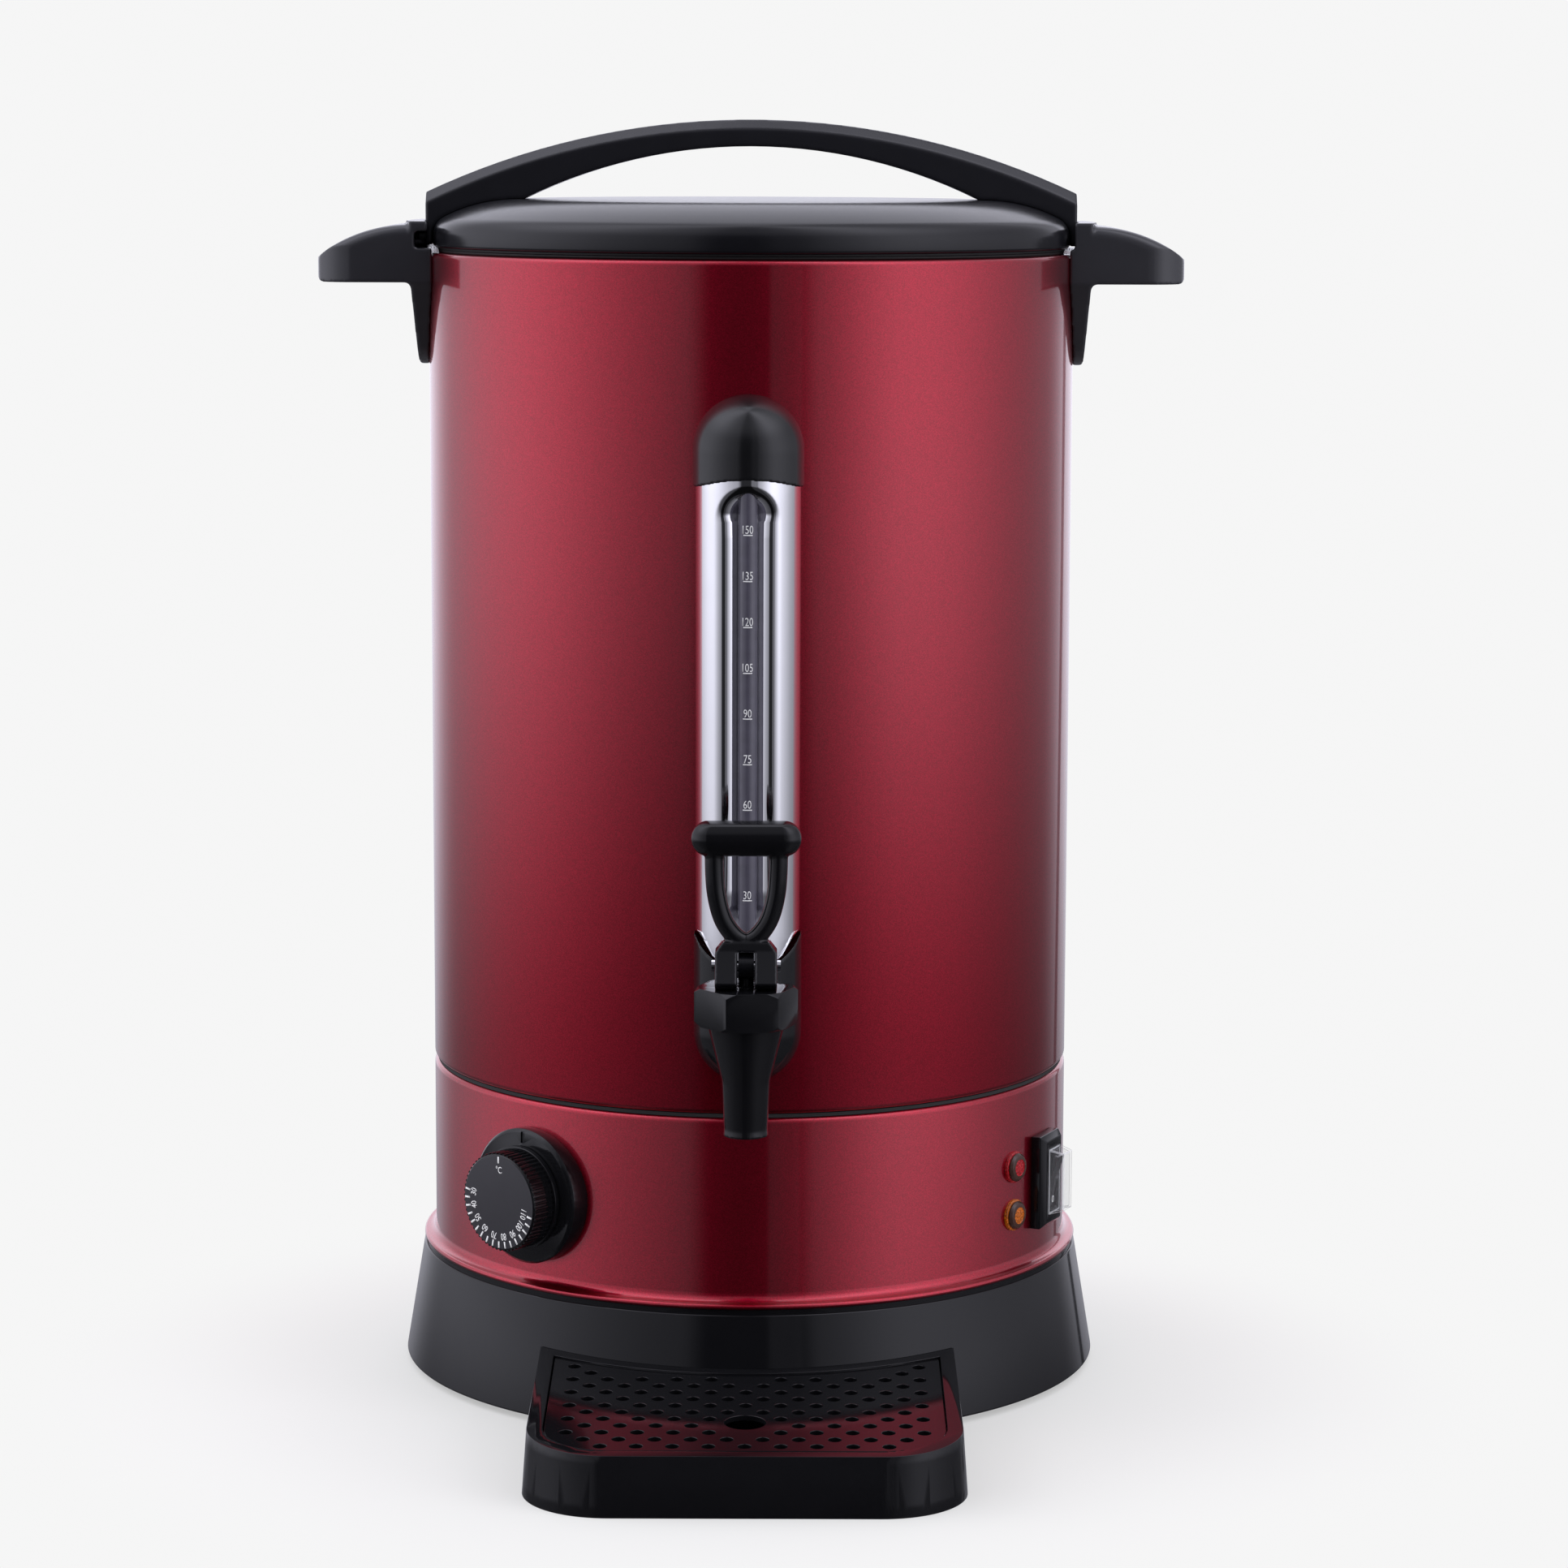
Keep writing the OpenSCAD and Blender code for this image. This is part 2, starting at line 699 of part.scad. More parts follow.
module tie_nut() {
    color(dull_steel) difference() {
        place() translate([0, 0, foot_h - 4]) cylinder(r = 2 * tie_r, h = 4, $fn = 6);
        disc(tie_r, 0, foot_h + cut);
    }
}

module thermostat_body() {
    color(dull_steel) on_wall(knob_az, knob_z) difference() {
        union() {
            translate([-thermostat_w / 2, -thermostat_l / 2, thermostat_front - thermostat_d])
                cube([thermostat_w, thermostat_l, thermostat_d]);
            translate([0, 0, thermostat_front - cut])
                cylinder(r = neck_bush_r, h = bezel_face - 2 - thermostat_front + cut);
        }
        translate([0, 0, thermostat_front - shaft_depth])
            cylinder(r = shaft_r + run_gap, h = shaft_depth + bezel_face - thermostat_front);
    }
}

module thermostat_bulb() {
    bulb_r = 3;
    bulb_l = 0.63 * heater_r;
    bulb_z = heater_z - element_r - bulb_r;
    bulb_end = [-heater_r / 2, -heater_r / 3, bulb_z];
    box_r = thermostat_front - thermostat_d;
    box_port = [box_r * sin(knob_az), -box_r * cos(knob_az), knob_z + thermostat_l / 2 - 4];
    knee = [bulb_end.x - 8, bulb_end.y - 8, (bulb_z + box_port.z) / 2];
    color(cast_grey) place() {
        rod(bulb_end, bulb_end + [bulb_l, 0, 0], bulb_r);
        rod(bulb_end + [2, 0, 0], knee, 1);
        rod(knee, box_port, 1);
        translate(knee) sphere(1.3);
        translate(bulb_end + [bulb_l / 2, -4, bulb_r - 1]) cube([6, 8, element_r + 1]);
    }
}

module knob_bezel() {
    chamfer = 1.5;
    groove_w = 1.4;
    color(gloss_black) difference() {
        on_wall(knob_az, knob_z) difference() {
            rotate_extrude() polygon([
                [0, body_r - 8],
                [bezel_r, body_r - 8],
                [bezel_r, bezel_face - chamfer],
                [bezel_r - chamfer, bezel_face],
                [0, bezel_face]
            ]);
            cylinder(r = neck_bush_r, h = 2 * body_r);
            translate([-groove_w / 2, knob_r + 2.4, bezel_face - 0.6]) cube([groove_w, bezel_r, 2]);
        }
        disc(body_r, 0, seam_z, $fn = wall_fn);
    }
}

// Block with its four front edges chamfered, from a back plane to a front plane
module chamfered_block(w, l, z0, z1, chamfer) {
    intersection() {
        rotate([90, 0, 0]) translate([0, 0, -l / 2]) linear_extrude(l) polygon([
            [-w / 2, z0], [w / 2, z0], [w / 2, z1 - chamfer],
            [w / 2 - chamfer, z1], [chamfer - w / 2, z1], [-w / 2, z1 - chamfer]
        ]);
        rotate([90, 0, 90]) translate([0, 0, -w / 2]) linear_extrude(w) polygon([
            [-l / 2, z0], [l / 2, z0], [l / 2, z1 - chamfer],
            [l / 2 - chamfer, z1], [chamfer - l / 2, z1], [-l / 2, z1 - chamfer]
        ]);
    }
}

module switch_surround() {
    color(gloss_black) difference() {
        on_wall(switch_az, switch_z) difference() {
            chamfered_block(surround_w, surround_l, body_r - 8, surround_face, 2.5);
            translate([0, 0, body_r]) cube([opening_w, opening_l, 2 * surround_l], center = true);
        }
        disc(body_r, 0, seam_z, $fn = wall_fn);
    }
}

module switch_body() {
    depth = 20;
    body_w = opening_w - 2 * fit_gap;
    body_l = opening_l - 2 * fit_gap;
    color(gloss_black) on_wall(switch_az, switch_z) difference() {
        union() {
            translate([-body_w / 2, -body_l / 2, surround_face - depth]) cube([body_w, body_l, depth]);
            for (i = [-1, 0, 1]) {
                translate([-3, i * body_l / 3 - 0.4, surround_face - depth - 8]) cube([6, 0.8, 9]);
            }
        }
        translate([0, 0, surround_face])
            cube([rocker_w + 2 * slide_gap, rocker_l + 4 * slide_gap, 15], center = true);
        translate([-body_w / 2 - cut, 0, rocker_pivot]) rotate([0, 90, 0])
            cylinder(r = 1.5, h = body_w + 2 * cut);
    }
}

// Box that tapers by the boot's slope on all four sides
module taper_box(w, l, h) {
    lean = boot_taper / 2 * h / boot_h;
    intersection() {
        rotate([90, 0, 0]) translate([0, 0, -l / 2]) linear_extrude(l)
            polygon([[-w / 2, 0], [w / 2, 0], [w / 2 - lean, h], [lean - w / 2, h]]);
        rotate([90, 0, 90]) translate([0, 0, -w / 2]) linear_extrude(w)
            polygon([[-l / 2, 0], [l / 2, 0], [l / 2 - lean, h], [lean - l / 2, h]]);
    }
}

module switch_boot() {
    color(clear_pale) on_wall(switch_az, switch_z) translate([0, 0, surround_face]) difference() {
        taper_box(boot_w, boot_l, boot_h);
        translate([0, 0, -0.001]) taper_box(boot_w - 2 * boot_t, boot_l - 2 * boot_t, boot_h - boot_t);
    }
}

module switch_rocker() {
    half = rocker_l / 2;
    color(gloss_black) on_wall(switch_az, switch_z) translate([0, 0, rocker_pivot])
        rotate([rocker_throw / 2, 0, 0]) {
            rotate([90, 0, 90]) translate([0, 0, -rocker_w / 2]) linear_extrude(rocker_w) polygon([
                [-half, -1], [-half, 2.6], [0, 0.9], [half, 2.6], [half, -1], [3, -4], [-3, -4]
            ]);
            translate([-rocker_w / 2 - 1.2, 0, 0]) rotate([0, 90, 0])
                cylinder(r = 1.5 - run_gap, h = rocker_w + 2.4);
        }
}

// Indicator lamp: head, stem and two tags
module lamp(z) {
    on_wall(lamp_az, z) translate([0, 0, body_r]) {
        rotate_extrude() {
            square([lamp_r, 1.6]);
            square([lamp_r - 1, 2.4]);
            intersection() {
                translate([0, -6]) circle(10);
                square([lamp_r - 1.6, 5]);
            }
        }
        translate([0, 0, -20]) cylinder(r = lamp_stem_r, h = 21);
        for (side = [-1, 1]) {
            translate([side * 2.5 - 0.4, -1.5, -27]) cube([0.8, 3, 8]);
        }
    }
}

module lamp_red() {
    color(lamp_red_tone) lamp(lamp_upper_z);
}

module lamp_amber() {
    color(lamp_amber_tone) lamp(lamp_lower_z);
}

module lamp_nuts() {
    color(satin_black) for (z = [lamp_upper_z, lamp_lower_z]) {
        on_wall(lamp_az, z) difference() {
            translate([0, 0, inside_r - 4.4]) cylinder(r = lamp_nut_r, h = 4, $fn = 6);
            cylinder(r = lamp_stem_r, h = 2 * body_r);
        }
    }
}

module cord_gland() {
    color(gloss_black) on_wall(180, gland_z) difference() {
        union() {
            translate([0, 0, body_r]) cylinder(r = gland_r, h = gland_flange);
            translate([0, 0, body_r + gland_flange])
                cylinder(r1 = gland_neck_r, r2 = gland_tip_r, h = gland_out - gland_flange);
            translate([0, 0, body_r - gland_in]) cylinder(r = gland_neck_r, h = gland_in + cut);
        }
        cylinder(r = gland_bore_r, h = 2 * body_r);
    }
}

module gland_nut() {
    color(gloss_black) on_wall(180, gland_z) difference() {
        translate([0, 0, gland_nut_seat - gland_nut_h])
            cylinder(r = gland_r + 1, h = gland_nut_h, $fn = 6);
        cylinder(r = gland_neck_r, h = 2 * body_r);
    }
}

module terminal_block() {
    size = body_r * [0.3, 0.12, 0.1];
    ways = 3;
    clamp_r = 3;
    wire_r = 2;
    color(seal_white) place() translate([-size.x / 2, body_r / 2, plate_z1]) difference() {
        cube(size);
        for (i = [0:ways - 1]) {
            translate([(i + 0.5) * size.x / ways, 0, size.z / 2]) {
                translate([0, size.y / 2, 0]) cylinder(r = clamp_r, h = size.z);
                translate([0, -cut, 0]) rotate([-90, 0, 0]) cylinder(r = wire_r, h = size.y + 2 * cut);
            }
        }
    }
}

// Everything under the curved cut between the holder's horns, widened by a gap
module below_horns(gap) {
    difference() {
        place() translate([-2 * shield_r, -body_r - 2 * shield_r, 0])
            cube([4 * shield_r, 2 * body_r, holder_cut_z]);
        on_wall(0, holder_cut_z) cylinder(r = holder_cut_r - gap, h = 2 * body_r);
    }
}

// Half-round gauge stock against the body, between two heights
module gauge_stock(r, z0, z1) {
    difference() {
        place() translate([0, -body_r, z0]) cylinder(r = r, h = z1 - z0);
        disc(body_r, z0 - cut, z1 + cut, $fn = wall_fn);
    }
}

// Half section of a post with one round end at Y = 0, its length along +Y
module round_end_section(r, length) {
    translate([0, r]) square([r, length - r]);
    intersection() {
        translate([0, r]) circle(r);
        square([r, r + cut]);
    }
}

module gauge_shield() {
    color(bright_steel) difference() {
        gauge_stock(shield_r, holder_top - holder_cut, cap_dome_z);
        place() translate([0, -body_r, 0]) cylinder(r = shield_r - shield_t, h = cap_top);
        below_horns(fit_gap);
        for (z = [window_z0 + window_w / 2, window_z1 - window_w / 2]) {
            on_wall(0, z) translate([0, 0, body_r + 5]) cylinder(r = window_w / 2, h = shield_r);
        }
        on_wall(0, 0) translate([-window_w / 2, window_z0 + window_w / 2, body_r + 5])
            cube([window_w, window_z1 - window_z0 - window_w, shield_r]);
    }
}

module gauge_trough() {
    trough_z0 = window_z0 - 4;
    trough_z1 = window_z1 + 6;
    color(bright_steel) difference() {
        place() translate([0, -trough_y, trough_z0]) cylinder(r = trough_r, h = trough_z1 - trough_z0);
        place() translate([0, -trough_y, trough_z0 - cut])
            cylinder(r = trough_r - shield_t, h = trough_z1 - trough_z0 + 2 * cut);
        place() translate([-shield_r, -trough_y - shield_r, 0]) cube([2 * shield_r, shield_r, cap_top]);
        below_horns(fit_gap);
    }
}

module gauge_glass() {
    color(clear_pale) place() translate([0, -glass_y, glass_z0]) difference() {
        cylinder(r = glass_r, h = glass_z1 - glass_z0);
        translate([0, 0, -cut]) cylinder(r = glass_r - glass_t, h = glass_z1 - glass_z0 + 2 * cut);
    }
}

module gauge_cap() {
    color(gloss_black) difference() {
        place() translate([0, cap_sink - body_r, 0]) rotate_extrude() {
            translate([0, cap_z]) square([cap_r, cap_dome_z - cap_z]);
            intersection() {
                translate([0, cap_dome_z]) circle(cap_r);
                translate([0, cap_dome_z - cut]) square([cap_r, cap_r + cut]);
            }
        }
        place() translate([0, -body_r, cap_z - cut])
            cylinder(r = shield_r + fit_gap, h = cap_dome_z - cap_z + cut);
        disc(body_r, cap_z - cut, cap_top + cut, $fn = wall_fn);
        on_wall(0, cap_z + cap_arch - cap_arch_r) cylinder(r = cap_arch_r, h = 2 * body_r);
        place() translate([0, -glass_y, cap_dome_z - cut])
            cylinder(r = glass_r + seal_wall, h = glass_z1 - cap_dome_z + cut);
        shell_screw_holes(screw_r);
    }
}

module gauge_holder() {
    color(gloss_black) difference() {
        place() translate([0, -body_r, holder_z]) rotate_extrude()
            round_end_section(holder_r, holder_top - holder_z);
        disc(body_r, 0, rim_z, $fn = wall_fn);
        on_wall(0, holder_cut_z) cylinder(r = holder_cut_r, h = 2 * body_r);
        on_wall(0, shank_z) cylinder(r = shank_r, h = 2 * body_r);
        on_wall(0, shank_z) translate([0, 0, collar_y]) cylinder(r = collar_r + fit_gap, h = shield_r);
        place() translate([0, -glass_y, seal_z0]) cylinder(r = glass_r + seal_wall, h = rim_z);
        place() translate([0, -glass_y, shank_z]) cylinder(r = glass_r - glass_t, h = shield_r);
    }
}

module gauge_seals() {
    color(seal_white) place() translate([0, -glass_y, 0]) {
        translate([0, 0, seal_z0]) difference() {
            cylinder(r = glass_r + seal_wall, h = seal_h);
            translate([0, 0, -cut]) cylinder(r = glass_r - glass_t, h = seal_h + 2 * cut);
            translate([0, 0, seal_foot]) cylinder(r = glass_r, h = seal_h);
        }
        translate([0, 0, cap_dome_z]) difference() {
            cylinder(r = glass_r + seal_wall, h = glass_z1 - cap_dome_z);
            translate([0, 0, -cut]) cylinder(r = glass_r, h = glass_z1 - cap_dome_z + 2 * cut);
        }
    }
}

// Half section of the barrel and spout, without their bores
module barrel_section() {
    polygon([
        [0, spout_z],
        [spout_r + spout_lip, spout_z],
        [spout_r, spout_z + spout_lip_h],
        [spout_r + spout_lean, spout_z + spout_l],
        [barrel_r, bonnet_z],
        [neck_r, bonnet_z],
        [neck_r, neck_top],
        [0, neck_top]
    ]);
}

module tap_body() {
    color(gloss_black) difference() {
        union() {
            place() translate([0, -tap_y, 0]) rotate_extrude() barrel_section();
            on_wall(0, shank_z) {
                translate([0, 0, shank_end]) cylinder(r = shank_r, h = tap_y - shank_end);
                translate([0, 0, collar_y]) cylinder(r = collar_r, h = collar_t);
                translate([0, 0, collar_y]) cylinder(r = arm_r, h = tap_y - collar_y);
            }
        }
        place() translate([0, -tap_y, spout_z - cut])
            cylinder(r = spout_bore_r, h = neck_top - spout_z + 2 * cut);
        place() translate([0, -tap_y, seat_z]) cylinder(r = chamber_r, h = neck_top - seat_z + cut);
        on_wall(0, shank_z) cylinder(r = shank_bore_r, h = tap_y);
        place() translate([0, -glass_y, shank_z]) cylinder(r = glass_r - glass_t, h = shank_r + cut);
    }
}

module tap_bonnet() {
    chamfer = 2;
    color(gloss_black) place() translate([0, -tap_y, 0]) difference() {
        intersection() {
            translate([0, 0, bonnet_z]) rotate(bonnet_turn) cylinder(r = bonnet_r, h = bonnet_h, $fn = 6);
            rotate_extrude() polygon([
                [0, bonnet_z],
                [bonnet_r - chamfer, bonnet_z],
                [bonnet_r, bonnet_z + chamfer],
                [bonnet_r, bonnet_top - chamfer],
                [bonnet_r - chamfer, bonnet_top],
                [0, bonnet_top]
            ]);
        }
        translate([0, 0, bonnet_z - cut]) cylinder(r = neck_r, h = neck_top - bonnet_z + cut);
        translate([0, 0, bonnet_z]) cylinder(r = stem_r + slide_gap, h = 2 * bonnet_h);
    }
}

module tap_spacers() {
    color(seal_white) on_wall(0, shank_z) {
        washer(spacer_r, shank_r, vessel_r, sqrt(inside_r * inside_r - spacer_r * spacer_r));
        washer(washer_r, shank_r, washer_front - washer_t, washer_front);
    }
}

module tap_backnut() {
    color(bright_steel) on_wall(0, shank_z) difference() {
        translate([0, 0, washer_front - washer_t - backnut_h])
            cylinder(r = backnut_r, h = backnut_h, $fn = 6);
        cylinder(r = shank_r, h = tap_y);
    }
}

// Coil spring as one swept tube
module tap_spring() {
    sides = 6;
    steps_per_turn = 16;
    height = neck_top - spring_z0 - spring_wire;
    steps = spring_turns * steps_per_turn;
    points = [
        for (i = [0:steps])
            for (j = [0:sides - 1])
                let (a = 360 * i / steps_per_turn, b = 360 * j / sides)
                let (r = spring_r + spring_wire / 2 * cos(b))
                [r * cos(a), r * sin(a), spring_wire / 2 * sin(b) + height * i / steps]
    ];
    walls = [
        for (i = [0:steps - 1])
            for (j = [0:sides - 1])
                let (k = (j + 1) % sides)
                each [
                    [i * sides + j, (i + 1) * sides + k, i * sides + k],
                    [i * sides + j, (i + 1) * sides + j, (i + 1) * sides + k]
                ]
    ];
    first_end = [for (j = [1:sides - 2]) [0, j, j + 1]];
    last_end = [for (j = [1:sides - 2]) [steps * sides, steps * sides + j + 1, steps * sides + j]];
    color(bright_steel) place() translate([0, -tap_y, spring_z0 + spring_wire / 2])
        polyhedron(points, concat(walls, first_end, last_end));
}

module tap_stem() {
    color(satin_black) place() translate([0, -tap_y, 0]) difference() {
        union() {
            translate([0, 0, seat_z + 3]) cylinder(r = stem_r, h = pin_z - seat_z - 3);
            translate([-yoke_slot / 2 + slide_gap, 0, pin_z]) rotate([0, 90, 0])
                cylinder(r = eye_r, h = yoke_slot - 2 * slide_gap);
        }
        translate([-pin_l, 0, pin_z]) rotate([0, 90, 0]) cylinder(r = pin_r, h = 2 * pin_l);
    }
}

module tap_seat() {
    color(seal_white) place() translate([0, -tap_y, 0]) difference() {
        translate([0, 0, seat_z]) cylinder(r = seat_r, h = seat_h);
        translate([0, 0, seat_z + 3]) cylinder(r = stem_r, h = seat_h);
    }
}

module lever_pin() {
    color(bright_steel) place() translate([-pin_l / 2, -tap_y, pin_z]) rotate([0, 90, 0])
        cylinder(r = pin_r, h = pin_l);
}

// One half of the lever's looped arms: round bars between points of a path, from the bar to the yoke
module lever_arm(path) {
    for (i = [0:len(path) - 2]) {
        rod(path[i], path[i + 1], arm_bar_r);
    }
    for (i = [1:len(path) - 2]) {
        translate(path[i]) sphere(arm_bar_r + run_gap);
    }
}

module tap_lever() {
    bar_z = lever_h - lever_bar_r;
    bar_half = lever_bar_l / 2 - lever_bar_r;
    yoke_top = eye_r + 5;
    shoulder = [3.2, 4.4];
    heel = 9;
    below = pin_rise + lever_h;
    toe = [for (a = [0:4:lever_throw + 4]) cam_point(a)];
    color(gloss_black) place() translate([0, -tap_y, pin_z]) difference() {
        union() {
            intersection() {
                translate([-yoke_w / 2, 0, 0]) rotate([90, 0, 90]) linear_extrude(yoke_w) polygon(concat(
                    [[lever_t / 2, yoke_top], [heel, 0], [heel, -cam_rest]],
                    toe,
                    [[-lever_t / 2 - 1.5, yoke_top - 4], [-lever_t / 2, yoke_top]]
                ));
                rotate([90, 0, 0]) translate([0, 0, -2 * lever_t]) linear_extrude(4 * lever_t) polygon([
                    [-yoke_w / 2, -below], [yoke_w / 2, -below],
                    [yoke_w / 2, yoke_top - shoulder.y], [yoke_w / 2 - shoulder.x, yoke_top],
                    [shoulder.x - yoke_w / 2, yoke_top], [-yoke_w / 2, yoke_top - shoulder.y]
                ]);
            }
            for (side = [-1, 1]) {
                lever_arm([
                    [side * 0.85 * bar_half, 0, bar_z], [side * 0.8 * bar_half, 0, 0.5 * lever_h],
                    [side * 0.62 * bar_half, 0, 0.325 * lever_h], [0, 0, 0.18 * lever_h]
                ]);
            }
            translate([0, 0, bar_z]) rotate([0, 90, 0]) rotate_extrude() intersection() {
                union() {
                    translate([0, -bar_half]) square([lever_bar_r, 2 * bar_half]);
                    for (side = [-1, 1]) {
                        translate([0, side * bar_half]) circle(lever_bar_r);
                    }
                }
                translate([0, -lever_bar_l]) square(2 * lever_bar_l);
            }
        }
        translate([-yoke_slot / 2, -below, -below]) cube([yoke_slot, 2 * below, below + eye_r + 1]);
        translate([-yoke_w, 0, 0]) rotate([0, 90, 0]) cylinder(r = pin_r + run_gap, h = 2 * yoke_w);
    }
}

// Outline of a side handle's bracket on the wall: a plate that narrows to a round lower end
module bracket_outline() {
    w = grip_w / 2;
    z_wide = rim_z - grip_drop;
    z_end = rim_z - bracket_drop + bracket_end_r;
    reach = norm([w, z_wide - z_end]);
    a = atan2(z_wide - z_end, w) - acos(bracket_end_r / reach);
    x_side = bracket_end_r * cos(a);
    z_side = z_end + bracket_end_r * sin(a);
    translate([0, z_end]) circle(bracket_end_r);
    polygon([
        [-w, lip_z1], [w, lip_z1], [w, z_wide], [x_side, z_side],
        [0, z_end], [-x_side, z_side], [-w, z_wide]
    ]);
}

// Side profile of a side handle's grip: a flat underside with a fillet to the bracket, and a rounded tip
module grip_section() {
    tip = body_r + grip_reach;
    under_z = rim_z - grip_drop;
    root = body_r + bracket_t;
    round_r = 3;
    translate([inside_r, under_z]) square([tip - round_r - inside_r, lip_z1 - under_z]);
    translate([inside_r, under_z + round_r]) square([tip - inside_r, lip_z1 - under_z]);
    translate([tip - round_r, under_z + round_r]) circle(round_r);
    difference() {
        translate([inside_r, under_z - grip_fillet])
            square([root + grip_fillet - inside_r, 2 * grip_fillet]);
        translate([root + grip_fillet, under_z - grip_fillet]) circle(grip_fillet);
    }
}

// Crowned top of a side handle's grip, rounded along its upper edges, about the crown's axis
module grip_crown() {
    half = grip_w / 2;
    crown_z = lip_z1 - 1.5 - grip_crown_r;
    translate([body_r + bracket_t, 0, crown_z]) rotate([90, 0, 0]) rotate_extrude() {
        translate([0, -half]) square([grip_crown_r - grip_round, grip_w]);
        translate([0, grip_round - half]) square([grip_crown_r, grip_w - 2 * grip_round]);
        for (side = [-1, 1]) {
            translate([grip_crown_r - grip_round, side * (half - grip_round)]) circle(grip_round);
        }
    }
}

// Side handle on the right, with its lock's notch open to the back
module side_handle() {
    root = body_r + bracket_t;
    under_z = rim_z - grip_drop;
    foot_z = rim_z - bracket_drop;
    difference() {
        union() {
            intersection() {
                rotate(90) rotate([90, 0, 0]) linear_extrude(body_r + grip_reach) bracket_outline();
                rotate([90, 0, 0]) translate([0, 0, -grip_w]) linear_extrude(2 * grip_w) polygon([
                    [0, foot_z - cut], [root - bracket_taper, foot_z - cut], [root - bracket_taper, foot_z],
                    [root, under_z], [root, lip_z1], [0, lip_z1]
                ]);
            }
            intersection() {
                rotate([90, 0, 0]) translate([0, 0, -grip_w / 2]) linear_extrude(grip_w) grip_section();
                grip_crown();
                translate([0, 0, foot_z]) linear_extrude(lip_z1 - foot_z)
                    rotate(90) translate([0, -body_r - grip_reach])
                        round_foot_plate(grip_w, body_r + grip_reach, grip_corner);
                rotate(90) rotate([90, 0, 0]) linear_extrude(2 * body_r) bracket_outline();
            }
            intersection() {
                translate([0, -grip_w / 2, under_z]) cube([lip_r, grip_w, lip_z1 - under_z]);
                cylinder(r = lip_r, h = lip_z1);
            }
        }
        cylinder(r = body_r, h = 2 * rim_z);
        translate([0, 0, rim_z + lock_floor]) cylinder(r = leg_clear_r, h = rim_z);
        intersection() {
            translate([0, 0, rim_z + lock_floor])
                cylinder(r = tab_clear_r, h = notch_z1 - rim_z - lock_floor);
            translate([0, -tab_w / 2 - slide_gap, 0]) cube([2 * body_r, grip_w, 2 * rim_z]);
        }
    }
}

module side_handle_right() {
    color(gloss_black) difference() {
        place() side_handle();
        shell_screw_holes(screw_r);
    }
}

module side_handle_left() {
    color(gloss_black) difference() {
        place() rotate(180) side_handle();
        shell_screw_holes(screw_r);
    }
}

// Places of the screws that hold the side handles and the gauge's cap, driven from inside the shell
module at_shell_screws() {
    spread = 8;
    screw_seat = sqrt(inside_r * inside_r - screw_head_r * screw_head_r);
    for (az = [90 - spread, 90 + spread, 270 - spread, 270 + spread]) {
        on_wall(az, rim_z - 8) translate([0, 0, screw_seat]) children();
    }
    on_wall(0, cap_dome_z + 10) translate([0, 0, screw_seat]) children();
}

module shell_screw_holes(r) {
    at_shell_screws() translate([0, 0, -cut]) cylinder(r = r, h = 13 + cut);
}

module shell_screws() {
    color(dull_steel) at_shell_screws() screw(screw_r, 13, screw_head_r, screw_head_h);
}

module lid_seal() {
    lip_out = vessel_in_r - slide_gap;
    lip_in = lip_out - seal_lip_t;
    color(seal_white) union() {
        ring(lid_r - 2, lip_in, rim_z, lid_z);
        ring(lip_out, lip_in, rim_z - seal_lip_h, lid_z);
    }
}

// Half section of the lid's outside, or of a parallel inside
module lid_section(inset) {
    crown = lid_curve_r - inset;
    edge = lid_round - inset;
    polygon(concat(
        [[0, lid_z], [0, lid_top - inset]],
        [for (i = [0:9]) let (a = 90 - (90 - lid_round_angle) * i / 9)
            [lid_flat_r + crown * cos(a), lid_top - lid_curve_r + crown * sin(a)]],
        [for (i = [1:9]) let (a = lid_round_angle * (1 - i / 9))
            [lid_r - lid_round + edge * cos(a), lid_round_z + edge * sin(a)]],
        [[lid_r - inset, lid_z]]
    ));
}

module lid() {
    plug_out = vessel_in_r - 2 * slide_gap - seal_lip_t;
    boss_top = lid_at(lid_screw_r + boss_r) - lid_t / 2;
    color(satin_black) {
        difference() {
            union() {
                place() rotate_extrude() difference() {
                    lid_section(0);
                    intersection() {
                        translate([0, -0.001]) lid_section(lid_t);
                        square([lid_r - lid_rim_w, lid_top]);
                    }
                }
                ring(plug_out, plug_out - lid_t, lid_z - seal_lip_h, lid_at(plug_out) - lid_t / 2);
                at_lid_screws() cylinder(r = boss_r, h = boss_top - lid_z - screw_head_h);
            }
            at_lid_screws() translate([0, 0, -cut]) cylinder(r = screw_r + fit_gap, h = 40);
        }
    }
}

// Places of the screws that hold the lid's handle, driven from below
module at_lid_screws() {
    for (side = [-1, 1]) {
        place() translate([side * lid_screw_r, 0, lid_z + screw_head_h]) children();
    }
}

module lid_screws() {
    color(dull_steel) at_lid_screws() screw(screw_r, lid_screw_l, screw_head_r, screw_head_h);
}

